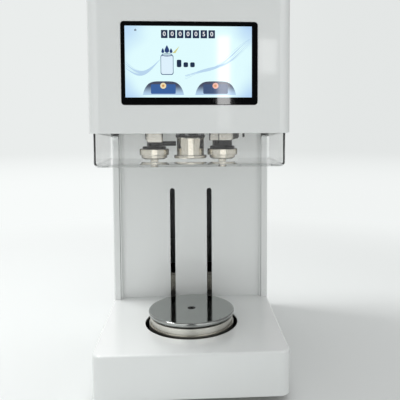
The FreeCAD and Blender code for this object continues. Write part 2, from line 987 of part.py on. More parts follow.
def make_spindle_housing():
    """Flanged bearing cartridge, and the two ball bearings inside it."""
    foot = head_plate_foot - s.housing_drop
    lip = foot + s.housing_lip
    top = foot + s.housing_height
    bore = s.bearing_radius + s.seat_gap
    upper_seat = top - s.bearing_cap - s.bearing_width
    profile = [
        (s.spindle_radius + s.housing_clearance, foot),
        (s.housing_radius, foot),
        (s.housing_radius, head_plate_top),
        (s.housing_flange, head_plate_top),
        (s.housing_flange, head_plate_top + s.head_plate_thick),
        (s.housing_radius, head_plate_top + s.head_plate_thick),
        (s.housing_radius, top),
        (bore, top),
        (bore, upper_seat),
        (s.housing_bore, upper_seat),
        (s.housing_bore, lip + s.bearing_width),
        (bore, lip + s.bearing_width),
        (bore, lip),
        (s.spindle_radius + s.housing_clearance, lip),
    ]
    node("spindle_housing", turned("SpindleHousing", profile, 0, spindle_y))
    rings = []
    for low in (lip, upper_seat):
        rings.append(bearing_ring(low, s.spindle_radius, spindle_y))
    node("spindle_bearings", group(rings, "SpindleBearings"))


def bearing_ring(low, bore, y):
    """A ball bearing with a shallow groove in each face between its races."""
    inner = bore + s.seat_gap
    first = bore + s.race_wall
    second = s.bearing_radius - s.race_wall
    high = low + s.bearing_width
    profile = [
        (inner, low),
        (first, low),
        (first, low + s.race_groove),
        (second, low + s.race_groove),
        (second, low),
        (s.bearing_radius, low),
        (s.bearing_radius, high),
        (second, high),
        (second, high - s.race_groove),
        (first, high - s.race_groove),
        (first, high),
        (inner, high),
    ]
    return turned("Bearing", profile, 0, y)


def make_spindle():
    """Spindle shaft with its lower flange and the spigot that centres the chuck."""
    flange_top = chuck_top + s.spindle_flange_thick
    profile = [
        (0, chuck_top - s.spigot_length),
        (s.spigot_radius, chuck_top - s.spigot_length),
        (s.spigot_radius, chuck_top),
        (s.spindle_flange, chuck_top),
        (s.spindle_flange, flange_top),
        (s.spindle_radius, flange_top),
        (s.spindle_radius, chuck_top + s.spindle_height),
        (0, chuck_top + s.spindle_height),
    ]
    shaft = turned("Spindle", profile, 0, spindle_y)
    span = (chuck_top - 1, flange_top + 1)
    node("spindle_shaft", cut(shaft, *chuck_bolt_rods(s.chuck_bolt_shank + s.seat_gap, span)))


def chuck_bolt_rods(radius, span):
    """Six rods on the chuck's bolt circle."""
    rods = []
    for index in range(6):
        angle = s.chuck_bolt_turn + 60 * index
        x = s.chuck_bolt_circle * sine(angle)
        y = spindle_y - s.chuck_bolt_circle * cosine(angle)
        rods.append(rod(radius, span, x, y))
    return rods


def make_chuck():
    """Seaming chuck: a polished drum with a lip that fits the can end's countersink."""
    lip_top = chuck_foot + s.chuck_lip_height
    spigot_floor = chuck_top - s.spigot_length - s.spigot_clearance
    profile = [
        (0, chuck_foot + s.chuck_recess_depth),
        (s.chuck_recess, chuck_foot + s.chuck_recess_depth),
        (s.chuck_recess, chuck_foot),
        (s.chuck_lip - s.chuck_bevel, chuck_foot),
        (s.chuck_lip, chuck_foot + s.chuck_bevel),
        (s.chuck_lip, lip_top - s.chuck_bevel / 2),
        (s.chuck_lip - s.chuck_bevel / 2, lip_top),
        (s.chuck_radius, lip_top),
        (s.chuck_radius, chuck_top - s.chuck_flare),
        (s.chuck_radius + s.chuck_flare, chuck_top),
        (s.spigot_radius + s.seat_gap, chuck_top),
        (s.spigot_radius + s.seat_gap, spigot_floor),
        (0, spigot_floor),
    ]
    drum = turned("Chuck", profile, 0, spindle_y)
    hole_span = (chuck_top - s.chuck_bolt_length, chuck_top + 1)
    holes = chuck_bolt_rods(s.chuck_bolt_shank + s.seat_gap, hole_span)
    node("seaming_chuck", cut(drum, *holes, name="ChuckDrilled"))
    seat = chuck_top + s.spindle_flange_thick
    heads = chuck_bolt_rods(s.chuck_bolt_head, (seat, seat + s.chuck_bolt_high))
    shanks = chuck_bolt_rods(s.chuck_bolt_shank, (seat - s.chuck_bolt_length + 1, seat))
    bolts = [fused(head, shank, name="ChuckBolt") for head, shank in zip(heads, shanks)]
    node("chuck_bolts", group(bolts, "ChuckBolts"))


def pulley(name, radius, bore, y, hub_foot):
    """A flanged belt pulley with a hub below it."""
    low = belt_foot - s.pulley_flange_thick
    high = belt_top + s.pulley_flange_thick
    rim = radius + s.pulley_flange
    profile = [
        (bore + s.seat_gap, hub_foot),
        (s.pulley_hub, hub_foot),
        (s.pulley_hub, low),
        (rim, low),
        (rim, belt_foot - s.fit_gap),
        (radius, belt_foot - s.fit_gap),
        (radius, belt_top + s.fit_gap),
        (rim, belt_top + s.fit_gap),
        (rim, high),
        (bore + s.seat_gap, high),
    ]
    return turned(name, profile, 0, y)


def make_drive():
    """Spindle motor, both pulleys and the belt between them."""
    motor_y = spindle_y + s.motor_offset
    side = s.motor_width / 2
    motor_top = head_plate_top + s.motor_height
    case = block((-side, side), (motor_y - side, motor_y + side), (head_plate_top, motor_top))
    node("main_motor", case)
    hub_foot = belt_foot - s.pulley_flange_thick - s.pulley_hub_height
    wheel = pulley("SpindlePulley", s.pulley_radius, s.spindle_radius, spindle_y, hub_foot)
    node("spindle_pulley", wheel)
    small = pulley("MotorPulley", s.motor_pulley_radius, s.motor_shaft, motor_y, hub_foot)
    shaft_span = (motor_top + s.fit_gap, belt_top + s.pulley_flange_thick)
    shaft = rod(s.motor_shaft + s.seat_gap * 2, shaft_span, 0, motor_y)
    node("motor_pulley", fused(small, shaft, name="MotorPulleyShaft"))
    belt = doc.addObject("Part::Feature", "Belt")
    belt.Shape = belt_shape()
    belt.Placement.Base = Vector(0, spindle_y.value, belt_foot.value)
    node("drive_belt", belt)


def loop_face(big, small, distance):
    """Face inside a belt line round two circles whose centres lie on Y."""
    lean = math.asin((big - small) / distance)
    up = Vector(math.cos(lean), math.sin(lean), 0)
    left = Vector(-up.x, up.y, 0)
    far = Vector(0, distance, 0)
    right_line = Part.LineSegment(up * big, far + up * small)
    left_line = Part.LineSegment(far + left * small, left * big)
    far_arc = Part.Arc(far + up * small, far + Vector(0, small, 0), far + left * small)
    near_arc = Part.Arc(left * big, Vector(0, -big, 0), up * big)
    edges = [right_line, far_arc, left_line, near_arc]
    return Part.Face(Part.Wire([edge.toShape() for edge in edges]))


def belt_shape():
    """Flat belt that wraps both pulleys."""
    gap = s.seat_gap.value * 2
    thick = s.belt_thick.value
    big = s.pulley_radius.value + gap
    small = s.motor_pulley_radius.value + gap
    distance = s.motor_offset.value
    ring = loop_face(big + thick, small + thick, distance).cut(loop_face(big, small, distance))
    return ring.extrude(Vector(0, 0, s.belt_width.value))


# ---------------------------------------------------------------------------------------------
# Roll arms, rolls and their gears
# ---------------------------------------------------------------------------------------------
def make_bushes():
    """Two flanged bushes in the head plate."""
    bore = s.pivot_radius + s.seat_gap
    outer = s.pivot_radius + s.bush_wall
    bushes = []
    for sign in (-1, 1):
        profile = [
            (bore, head_plate_foot - s.bush_flange_thick),
            (s.bush_flange, head_plate_foot - s.bush_flange_thick),
            (s.bush_flange, head_plate_foot),
            (outer, head_plate_foot),
            (outer, head_plate_top),
            (bore, head_plate_top),
        ]
        bushes.append(turned("Bush", profile, sign * s.pivot_spread, pivot_y))
    node("pivot_bushes", group(bushes, "Bushes"))


def swung(thing, sign, angle):
    """Turn a piece built with its pivot at the origin to its rest angle, and set it on its pivot."""
    turn = Rotation(Vector(0, 0, 1), -sign * angle.value)
    thing.Placement = FreeCAD.Placement(Vector(), turn)
    return place(thing, sign * s.pivot_spread, pivot_y)


def make_arm(side, sign, angle, width, low, washer, washer_thick, spacer):
    """One roll arm with its spacer stack and pin, built along -Y from the pivot and then swung."""
    high = head_plate_foot - s.arm_top_gap
    half = width / 2
    reach = s.swing_radius + s.arm_nose
    tail = s.arm_tail_width / 2
    plan = [
        (-half, -reach + s.arm_bevel),
        (-half + s.arm_bevel, -reach),
        (half - s.arm_bevel, -reach),
        (half, -reach + s.arm_bevel),
        (half, 0),
        (tail, s.arm_tail),
        (-tail, s.arm_tail),
        (-half, 0),
    ]
    bar = extruded(side + "Arm", "XY", plan, low, high)
    outside = sign * half.value
    rounded(bar, s.arm_edge_radius, lambda a, m, b: near(m.x, outside) and near(a.z, 0) and near(b.z, 0))
    tools = [
        rod(s.pivot_radius + s.seat_gap, (low - 1, high + 1)),
        rod(s.pin_radius + s.seat_gap, (low - 1, high - s.pin_cap), 0, -s.swing_radius),
    ]
    if side == "Right":
        slit = -half + s.arm_nose
        slit_end = -s.swing_radius - s.pin_radius - s.slit_gap
        tools.append(block((slit, slit + s.right_slit), (-reach - 1, slit_end), (low - 1, high + 1)))
    node(side.lower() + "_arm", swung(cut(bar, *tools, name=side + "ArmCut"), sign, angle))
    bore = s.pin_radius + s.seat_gap
    washer_foot = roll_top + s.fit_gap
    washer_top = washer_foot + washer_thick
    profile = [
        (bore, washer_foot),
        (washer, washer_foot),
        (washer, washer_top - s.washer_bevel),
        (washer - s.washer_bevel, washer_top),
        (spacer, washer_top),
        (spacer, low),
        (bore, low),
    ]
    stack = turned(side + "Collar", profile)
    node(side.lower() + "_collar", on_arm(stack, sign, angle))
    head_high = roll_foot - s.fit_gap
    head_low = head_high - s.pin_head_height
    pin_end = high - s.pin_cap - s.fit_gap
    pin_profile = [
        (0, head_low),
        (s.pin_head - s.pin_bevel, head_low),
        (s.pin_head, head_low + s.pin_bevel),
        (s.pin_head, head_high),
        (s.pin_radius, head_high),
        (s.pin_radius, pin_end),
        (0, pin_end),
    ]
    node(side.lower() + "_roll_pin", on_arm(turned(side + "Pin", pin_profile), sign, angle))


def roll_centre(sign, angle):
    """Where a roll's axis stands at rest."""
    x = sign * (s.pivot_spread - s.swing_radius * sine(angle))
    y = pivot_y - s.swing_radius * cosine(angle)
    return x, y


def on_arm(thing, sign, angle):
    """Set a round piece on the roll's axis."""
    x, y = roll_centre(sign, angle)
    return place(thing, x, y)


def make_lever():
    """Black stop lever below the left arm, reaching towards the spindle."""
    top = head_floor - s.left_arm_drop
    side = s.left_arm_width / 2
    bar = block(
        (-side + s.lever_inset, side + s.lever_reach),
        (-s.lever_setback - s.lever_width, -s.lever_setback),
        (top - s.lever_thick, top),
    )
    node("left_lever", swung(group([bar], "Lever"), -1, s.left_angle))


def make_roll(side, sign, angle, radius):
    """Seaming roll: a polished band above a smaller skirt with a bevelled nose."""
    band = roll_top - s.roll_band
    bore = s.pin_radius + s.seat_gap
    profile = [
        (bore, roll_foot),
        (s.roll_nose, roll_foot),
        (s.roll_skirt, roll_foot + s.roll_chamfer),
        (s.roll_skirt, band - s.roll_bevel),
        (radius - s.roll_bevel, band - s.roll_bevel),
        (radius, band),
        (radius, roll_top - s.roll_bevel),
        (radius - s.roll_bevel, roll_top),
        (bore, roll_top),
    ]
    node(side.lower() + "_roll", on_arm(turned(side + "Roll", profile), sign, angle))


PRESSURE_ANGLE = 20  # degrees, of the standard involute tooth
DEDENDUM = 1.25  # tooth depth below the pitch circle, in modules


def tooth_points(teeth, middle, tip, root):
    """Outline points of one gear tooth round the origin, from its root on one side to the other."""
    pitch = s.gear_module.value * teeth / 2
    pressure = math.radians(PRESSURE_ANGLE)
    base = pitch * math.cos(pressure)
    half_angle = math.pi / (2 * teeth) - s.gear_backlash.value / (2 * pitch)
    flank = [max(base, root), (max(base, root) + pitch) / 2, pitch, (pitch + tip) / 2, tip]
    side = []
    for radius in flank:
        roll = math.acos(min(1.0, base / radius))
        spread = half_angle + (math.tan(pressure) - pressure) - (math.tan(roll) - roll)
        side.append((radius, spread))
    if root < base:
        side.insert(0, (root, side[0][1]))
    angles = [(radius, middle - spread) for radius, spread in side]
    angles += [(radius, middle + spread) for radius, spread in reversed(side)]
    return [Vector(radius * math.cos(turn), radius * math.sin(turn), 0) for radius, turn in angles]


def gear_solid(teeth, cut_teeth, hub, bore, low, high):
    """A spur gear, or a sector of one, with a tooth on the +X axis and a round bore."""
    module = s.gear_module.value
    pitch = module * teeth / 2
    step = 2 * math.pi / teeth
    points = []
    first = -((cut_teeth - 1) // 2)
    for index in range(cut_teeth):
        points += tooth_points(teeth, (first + index) * step, pitch + module, pitch - DEDENDUM * module)
    outer = Part.makePolygon(points + [points[0]]) if cut_teeth == teeth else sector_wire(points)
    gear = Part.Face(outer).extrude(Vector(0, 0, high - low))
    gear = gear.fuse(Part.makeCylinder(hub, high - low)) if cut_teeth < teeth else gear
    gear = gear.cut(Part.makeCylinder(bore, high - low)) if bore else gear
    gear.translate(Vector(0, 0, low))
    return gear.removeSplitter()


def sector_wire(points):
    """Outline of a toothed sector that narrows to its hub."""
    waist = [Vector(0, s.sector_waist.value, 0), Vector(0, -s.sector_waist.value, 0)]
    return Part.makePolygon(points + waist + [points[0]])


def pinion_place(sign):
    """Centre of a pinion beside its sector."""
    distance = s.gear_module * (s.sector_teeth + s.pinion_teeth) / 2
    x = sign * (s.pivot_spread + distance * sine(s.pinion_bearing))
    y = pivot_y - distance * cosine(s.pinion_bearing)
    return x, y


def make_gears(side, sign, low_arm):
    """Toothed sector with its pivot shaft, and the pinion that drives it."""
    low = (head_plate_top + s.fit_gap).value
    gear_low = low + s.gear_lift.value
    gear_high = gear_low + s.gear_height.value
    heading = -90 + sign * s.pinion_bearing.value
    teeth = int(s.sector_teeth.value)
    sector = gear_solid(teeth, int(s.sector_cut.value), s.sector_hub.value, 0, gear_low, gear_high)
    hub_height = gear_high - low + s.sector_boss.value
    hub = Part.makeCylinder(s.sector_hub.value, hub_height, Vector(0, 0, low))
    shaft = Part.makeCylinder(s.pivot_radius.value, low - low_arm, Vector(0, 0, low_arm))
    wheel = doc.addObject("Part::Feature", side + "Sector")
    wheel.Shape = sector.fuse(hub).fuse(shaft).removeSplitter()
    spot = Vector(sign * s.pivot_spread.value, pivot_y.value, 0)
    wheel.Placement = FreeCAD.Placement(spot, Rotation(Vector(0, 0, 1), heading))
    node(side.lower() + "_sector_shaft", wheel)
    count = int(s.pinion_teeth.value)
    extra = s.pinion_overhang.value
    teeth_part = gear_solid(count, count, 0, 0, gear_low - extra, gear_high + extra)
    stem_top = bracket_top.value - s.fit_gap.value
    stem = Part.makeCylinder(s.pinion_hub.value, stem_top - gear_high, Vector(0, 0, gear_high))
    pinion = doc.addObject("Part::Feature", side + "Pinion")
    pinion.Shape = teeth_part.fuse(stem).removeSplitter()
    x, y = pinion_place(sign)
    turn = heading + 180 + 180 / count
    pinion.Placement = FreeCAD.Placement(Vector(x.value, y.value, 0), Rotation(Vector(0, 0, 1), turn))
    node(side.lower() + "_pinion", pinion)


def make_arm_motors():
    """Two gear motors and the folded brackets that hold them over the pinions."""
    brackets = []
    for side, sign in (("Left", -1), ("Right", 1)):
        x, y = pinion_place(sign)
        outer = frame_inner - s.bracket_inset
        inner = outer - s.bracket_width
        span_y = (y - s.bracket_depth / 2 - s.bracket_leg, y + s.bracket_depth / 2)
        limits = (inner, outer) if sign > 0 else (-outer, -inner)
        hollow_x = (inner - 1, outer - s.bracket_leg)
        hollow = hollow_x if sign > 0 else (-hollow_x[1], -hollow_x[0])
        plate = block(limits, span_y, (head_plate_top, bracket_top))
        space = block(
            hollow,
            (span_y[0] + s.bracket_leg, span_y[1] + 1),
            (head_plate_top - 1, bracket_top - s.bracket_plate),
        )
        hole = rod(s.pinion_hub + 1, (bracket_top - s.bracket_plate - 1, bracket_top + 1), x, y)
        brackets.append(cut(plate, space, hole, name=side + "Bracket"))
        case = rod(s.arm_motor_radius, (bracket_top, bracket_top + s.arm_motor_height), x, y)
        node(side.lower() + "_arm_motor", case)
    node("motor_brackets", group(brackets, "Brackets"))


# ---------------------------------------------------------------------------------------------
# Lift
# ---------------------------------------------------------------------------------------------
def lift_arm_top():
    """Top of the lift arms, where the drum sits."""
    return drum_roof_foot


def make_carriage():
    """Angle-shaped carriage behind the column panel, bored for the rods and the nut."""
    low = lift_arm_top() + s.fit_gap
    high = low + s.carriage_height
    face = panel_face + s.sheet + s.carriage_gap
    side = s.carriage_width / 2
    profile = [
        (face, low),
        (face + s.carriage_thick, low),
        (face + s.carriage_thick, high - s.carriage_thick),
        (face + s.carriage_depth, high - s.carriage_thick),
        (face + s.carriage_depth, high),
        (face, high),
        (face, high - s.line_drop),
        (face + s.line_width, high - s.line_drop - s.line_width / 2),
        (face, high - s.line_drop - s.line_width),
    ]
    angle = extruded("Carriage", "YZ", profile, -side, side)
    span = (high - s.carriage_thick - 1, high + 1)
    tools = [rod(s.nut_radius + s.seat_gap, span, 0, screw_y)]
    for sign in (-1, 1):
        tools.append(rod(s.slider_radius + s.seat_gap, span, sign * s.rod_spacing / 2, screw_y))
    node("carriage_bracket", cut(angle, *tools, name="CarriageBored"))
    nut = flanged_sleeve("Nut", s.nut_radius, s.nut_flange, s.nut_height, s.screw_radius, high)
    node("lead_nut", place(nut, 0, screw_y))
    sliders = []
    for sign in (-1, 1):
        slider = flanged_sleeve(
            "Slider", s.slider_radius, s.nut_flange, s.slider_height, s.rod_radius, high
        )
        sliders.append(place(slider, sign * s.rod_spacing / 2, screw_y))
    node("linear_bearings", group(sliders, "Sliders"))


def flanged_sleeve(name, outer, flange, height, bore, seat):
    """A sleeve hanging by its flange from a seat level."""
    hole = bore + s.seat_gap
    profile = [
        (hole, seat + s.flange_thick - height),
        (outer, seat + s.flange_thick - height),
        (outer, seat),
        (flange, seat),
        (flange, seat + s.flange_thick),
        (hole, seat + s.flange_thick),
    ]
    return turned(name, profile)


def make_lift_arms():
    """Two black arms that pass through the slots and carry the drum."""
    top = lift_arm_top()
    low = top - s.arm_height
    face = panel_face + s.sheet + s.carriage_gap + s.carriage_thick
    arms = []
    for sign in (-1, 1):
        middle = sign * s.slot_spacing / 2
        profile = [
            (spindle_y + s.arm_reach, low),
            (face + s.upright_depth, low),
            (face + s.upright_depth, top + s.upright_height - s.fit_gap),
            (face, top + s.upright_height - s.fit_gap),
            (face, top),
            (spindle_y + s.arm_reach, top),
        ]
        side = s.arm_width / 2
        arms.append(extruded("LiftArm", "YZ", profile, middle - side, middle + side))
    node("lift_arms", group(arms, "LiftArms"))


def make_table():
    """Fixed drum of the table, its bearing, and the turning hub, plate and screw."""
    foot = drum_top - s.drum_depth
    neck = drum_top - s.drum_neck
    outer = s.drum_radius
    inner = s.drum_radius - s.drum_wall
    boss = s.bearing_radius + s.boss_wall
    seat = s.bearing_radius + s.seat_gap
    bearing_high = drum_top - s.bearing_cap
    bearing_low = bearing_high - s.bearing_width
    profile = [
        (inner, foot),
        (outer + s.drum_lip, foot),
        (outer + s.drum_lip, neck - s.drum_groove),
        (outer - s.drum_groove, neck - s.drum_groove),
        (outer - s.drum_groove, neck),
        (outer, neck),
        (outer, drum_top - s.drum_bevel),
        (outer - s.drum_bevel, drum_top),
        (seat - s.bearing_lip, drum_top),
        (seat - s.bearing_lip, bearing_high),
        (seat, bearing_high),
        (seat, bearing_low),
        (boss, bearing_low),
        (boss, drum_roof_foot),
        (inner, drum_roof_foot),
    ]
    drum = turned("Drum", profile, 0, spindle_y)
    tools = []
    for sign in (-1, 1):
        middle = sign * s.slot_spacing / 2
        side = s.arm_width / 2 + s.seat_gap
        tools.append(
            block(
                (middle - side, middle + side),
                (spindle_y + s.arm_reach, spindle_y + s.plate_radius + s.drum_lip),
                (drum_roof_foot - s.arm_height - s.seat_gap, drum_roof_foot),
            )
        )
    node("table_drum", cut(drum, *tools, name="DrumCut"))
    node("plate_bearing", bearing_ring(bearing_low, s.bearing_bore, spindle_y))
    hub_foot = drum_top + s.hub_play
    screw_bore = s.plate_screw_shank + s.seat_gap
    cone_foot = plate_top - s.plate_screw_radius / 2
    hub_profile = [
        (screw_bore, bearing_low),
        (s.bearing_bore, bearing_low),
        (s.bearing_bore, hub_foot),
        (s.hub_radius, hub_foot),
        (s.hub_radius, plate_foot),
        (screw_bore, plate_foot),
    ]
    node("plate_hub", turned("Hub", hub_profile, 0, spindle_y))
    plate_profile = [
        (screw_bore, plate_foot),
        (s.plate_radius, plate_foot),
        (s.plate_radius, plate_top),
        (s.plate_screw_radius + s.seat_gap, plate_top),
        (screw_bore, cone_foot),
    ]
    plate = turned("TurnPlate", plate_profile, 0, spindle_y)
    rim = s.plate_radius.value
    rounded(plate, s.plate_rim, lambda a, m, b: near(math.hypot(m.x, m.y), rim))
    node("turn_plate", plate)
    screw_end = bearing_low + s.plate_screw_rise
    screw_profile = [
        (0, screw_end),
        (s.plate_screw_shank, screw_end),
        (s.plate_screw_shank, cone_foot),
        (s.plate_screw_radius, plate_top),
        (s.plate_screw_socket, plate_top),
        (s.plate_screw_socket, plate_top - s.plate_screw_socket),
        (0, plate_top - s.plate_screw_socket),
    ]
    node("plate_screw", turned("PlateScrew", screw_profile, 0, spindle_y))


def make_lift_drive():
    """Guide rods, lead screw, coupling, lower bearing and lift motor."""
    top = cross_high + s.cross_thick
    rods = []
    for sign in (-1, 1):
        rods.append(rod(s.rod_radius, (cross_low, top), sign * s.rod_spacing / 2, screw_y))
    node("guide_rods", group(rods, "GuideRods"))
    coupling_top = cross_high - s.coupling_gap
    coupling_low = coupling_top - s.coupling_height
    journal = s.journal_radius
    profile = [
        (0, cross_low),
        (journal, cross_low),
        (journal, cross_low + s.cross_thick),
        (s.screw_radius, cross_low + s.cross_thick + s.journal_step),
        (s.screw_radius, coupling_low),
        (0, coupling_low),
    ]
    node("lead_screw", turned("LeadScrew", profile, 0, screw_y))
    coupling_profile = [
        (0, coupling_low),
        (s.coupling_radius - s.coupling_bevel, coupling_low),
        (s.coupling_radius, coupling_low + s.coupling_bevel),
        (s.coupling_radius, coupling_top - s.coupling_bevel),
        (s.coupling_radius - s.coupling_bevel, coupling_top),
        (journal, coupling_top),
        (journal, top - s.fit_gap),
        (0, top - s.fit_gap),
    ]
    node("screw_coupling", turned("Coupling", coupling_profile, 0, screw_y))
    bush_profile = [
        (journal + s.seat_gap, cross_low),
        (s.nut_radius, cross_low),
        (s.nut_radius, cross_low + s.cross_thick),
        (journal + s.seat_gap, cross_low + s.cross_thick),
    ]
    node("screw_bearing", turned("ScrewBearing", bush_profile, 0, screw_y))
    side = s.lift_motor_width / 2
    case = block((-side, side), (screw_y - side, screw_y + side), (top, top + s.lift_motor_height))
    node("lift_motor", case)


# ---------------------------------------------------------------------------------------------
# Guard and fasteners
# ---------------------------------------------------------------------------------------------
def make_guard():
    """Clear tray round the rolls: front and side walls, and a floor open round the can."""
    outer = guard_inner() + s.guard_wall
    face = head_front + s.sheet + s.guard_front_gap
    back_edge = front + s.guard_back
    low = head_floor - s.guard_drop
    high = head_plate_top - s.fit_gap
    plan = rectangle((-outer, outer), (face, back_edge))
    body = extruded("Guard", "XY", plan, low, high)
    rounded(body, s.guard_corner, lambda a, m, b: upright(a, m, b) and near(m.y, face.value))
    rounded(
        body,
        s.guard_floor_radius,
        lambda a, m, b: near(a.z, 0) and near(m.z, 0) and near(b.z, 0) and m.y < back_edge.value - 1,
    )
    shelled(body, s.guard_wall, lambda c, n: n.z > 0.9 or n.y > 0.9)
    window = s.guard_window
    front_edge = front + s.guard_window_front
    cutter = extruded(
        "GuardWindow",
        "XY",
        rectangle((-window, window), (front_edge, back_edge + 1)),
        low - 1,
        low + s.guard_wall + 1,
    )
    rounded(cutter, s.guard_window_radius, lambda a, m, b: upright(a, m, b) and near(m.y, front_edge.value))
    holes = side_rods(s.small_shank + s.seat_gap, guard_inner(), outer + 1)
    node("clear_guard", cut(body, cutter, *holes, name="GuardCut"))


def side_rods(radius, inner, outer):
    """Four rods across the guard's side walls, at the middle of the head plate's edges."""
    rods = []
    z = head_plate_foot + s.head_plate_thick / 2
    for span in ((inner, outer), (-outer, -inner)):
        for y in (spindle_y - s.guard_screw_front, spindle_y + s.guard_screw_rear):
            rods.append(rod(radius, span, 0, y, z, along="x"))
    return rods


def make_cover_screws():
    """Pan-head screws of the rear cover and the guard."""
    screws = []
    head = s.small_head_height
    for z in side_screw_places():
        for x in (-screw_x(), screw_x()):
            cap = rod(s.small_head, (rear_face, rear_face + head), x, 0, z, along="y")
            shank = rod(s.small_shank, (rear_face - s.small_length, rear_face), x, 0, z, along="y")
            screws.append(fused(cap, shank, name="RearScrew"))
    inner = guard_inner()
    outer = inner + s.guard_wall
    caps = side_rods(s.small_head, outer, outer + head)
    shanks = side_rods(s.small_shank, inner, outer)
    for cap, shank in zip(caps, shanks):
        screws.append(fused(cap, shank, name="GuardScrew"))
    node("cover_screws", group(screws, "CoverScrews"))


def check_and_write():
    """Stop on any failed object or shape, then write one file for each sub-part."""
    doc.recompute()
    failed = [item.Label for item in doc.Objects if {"Invalid", "Error"} & set(item.State)]
    if failed:
        raise RuntimeError("failed objects: " + ", ".join(failed))
    os.makedirs("parts", exist_ok=True)
    for name, thing in parts.items():
        if thing.Shape.isNull() or not thing.Shape.isValid():
            raise RuntimeError("bad shape: " + name)
    for name, thing in parts.items():
        thing.Shape.exportStep(os.path.join("parts", name + ".step"))


make_base_plate()
make_feet()
make_base_cover()
make_well_liner()
make_frame()
make_side_covers()
make_column_panel()
make_rear_cover()
make_head_front()
make_head_lid()
make_display()
make_power_supply()
make_inlet()
make_rocker()
make_head_plate()
make_spindle_housing()
make_spindle()
make_chuck()
make_drive()
make_bushes()
make_arm(
    "Left", -1, s.left_angle, s.left_arm_width, head_floor - s.left_arm_drop,
    s.left_washer, s.left_washer_thick, s.left_spacer,
)
make_arm(
    "Right", 1, s.right_angle, s.right_arm_width, head_floor - s.right_arm_drop,
    s.right_washer, s.right_washer_thick, s.right_spacer,
)
make_lever()
make_roll("Left", -1, s.left_angle, s.left_roll_radius)
make_roll("Right", 1, s.right_angle, s.right_roll_radius)
make_gears("Left", -1, (head_floor - s.left_arm_drop).value)
make_gears("Right", 1, (head_floor - s.right_arm_drop).value)
make_arm_motors()
make_carriage()
make_lift_arms()
make_table()
make_lift_drive()
make_guard()
make_cover_screws()
check_and_write()
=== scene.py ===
"""Looks of a bench-top can seamer: finishes, lit screen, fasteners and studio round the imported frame."""
import json
import math

import bmesh
import bpy
from bpy.props import FloatProperty, FloatVectorProperty, IntProperty, PointerProperty, StringProperty
from mathutils import Matrix, Vector

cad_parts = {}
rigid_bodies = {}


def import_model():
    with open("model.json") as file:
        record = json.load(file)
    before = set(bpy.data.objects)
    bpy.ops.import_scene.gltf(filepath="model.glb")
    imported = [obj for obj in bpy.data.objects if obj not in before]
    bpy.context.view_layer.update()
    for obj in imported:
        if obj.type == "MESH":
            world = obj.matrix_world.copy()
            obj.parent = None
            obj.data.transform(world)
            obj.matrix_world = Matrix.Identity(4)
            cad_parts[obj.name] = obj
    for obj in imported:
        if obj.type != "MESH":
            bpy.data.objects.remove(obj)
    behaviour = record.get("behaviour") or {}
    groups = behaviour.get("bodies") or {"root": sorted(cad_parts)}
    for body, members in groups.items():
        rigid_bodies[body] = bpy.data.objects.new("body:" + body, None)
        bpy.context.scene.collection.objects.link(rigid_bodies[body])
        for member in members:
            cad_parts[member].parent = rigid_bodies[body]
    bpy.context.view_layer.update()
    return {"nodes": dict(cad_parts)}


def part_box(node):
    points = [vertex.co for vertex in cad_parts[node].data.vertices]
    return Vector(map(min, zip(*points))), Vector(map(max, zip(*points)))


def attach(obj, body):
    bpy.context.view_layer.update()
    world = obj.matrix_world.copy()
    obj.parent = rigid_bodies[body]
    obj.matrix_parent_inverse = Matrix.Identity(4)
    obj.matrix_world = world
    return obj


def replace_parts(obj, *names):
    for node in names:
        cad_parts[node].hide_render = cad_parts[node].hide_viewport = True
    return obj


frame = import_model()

bl_info = {
    "name": "Can Seamer Looks",
    "version": (1, 0, 0),
    "blender": (4, 5, 0),
    "location": "View3D > Sidebar > Can Seamer",
    "description": "Finishes, screen, fasteners and studio for a bench-top can seamer",
    "category": "Object",
}

MM = 0.001
SKIN = 0.00005  # step between the layers of the screen, in metres


def linear(code):
    """Linear colour of an sRGB hex value."""
    parts = [int(code[i:i + 2], 16) / 255 for i in (1, 3, 5)]
    return tuple(c / 12.92 if c <= 0.04045 else ((c + 0.055) / 1.055) ** 2.4 for c in parts)


def colour_property(name, description, code):
    """A colour that the panel shows."""
    return FloatVectorProperty(
        name=name, description=description, subtype="COLOR", size=3, min=0, max=1, default=linear(code)
    )


def length_property(name, description, millimetres):
    """A length that the panel shows, given here in millimetres."""
    return FloatProperty(
        name=name, description=description, subtype="DISTANCE", unit="LENGTH", default=millimetres * MM
    )


# ---------------------------------------------------------------------------------------------
# What a user would change
# ---------------------------------------------------------------------------------------------
class SeamerColours(bpy.types.PropertyGroup):
    """Colours of the finishes and of the screen."""

    enamel: colour_property("Enamel", "Gloss white powder coat of the covers", "#E9ECEB")
    black: colour_property("Black coat", "Satin black coat of frame, lever and collars", "#0B0C0D")
    tool_steel: colour_property("Tool steel", "Polished chuck and rolls", "#C9C4B8")
    plate_steel: colour_property("Plate steel", "Mirror of the turning plate", "#A4A7A5")
    drum_steel: colour_property("Drum steel", "Satin side of the table drum", "#DCDAD2")
    rubber: colour_property("Rubber", "Feet and belt", "#191A1B")
    acrylic: colour_property("Acrylic", "Clear guard", "#FDFDFD")
    bronze: colour_property("Bronze", "Nut and bushes", "#A8793F")
    board: colour_property("Board", "Solder mask of the control board", "#1E5A38")
    screen_pale: colour_property("Screen centre", "Palest blue of the screen", "#DFFBFE")
    screen_blue: colour_property("Screen edge", "Deeper blue of the screen's corners", "#B4D3F4")
    wave: colour_property("Screen waves", "Soft ribbons across the screen", "#C0DEF8")
    navy: colour_property("Navy", "Counter tiles and can outline", "#22334F")
    tab_top: colour_property("Tab top", "Dark top of the two tabs", "#4C5268")
    button: colour_property("Button", "Left button", "#3E66A4")
    button_dim: colour_property("Dim button", "Right button", "#43597F")
    cream: colour_property("Cream icon", "Round icon on the left button", "#F6E3B4")
    pink: colour_property("Pink icon", "Round icon on the right button", "#F4B9A8")


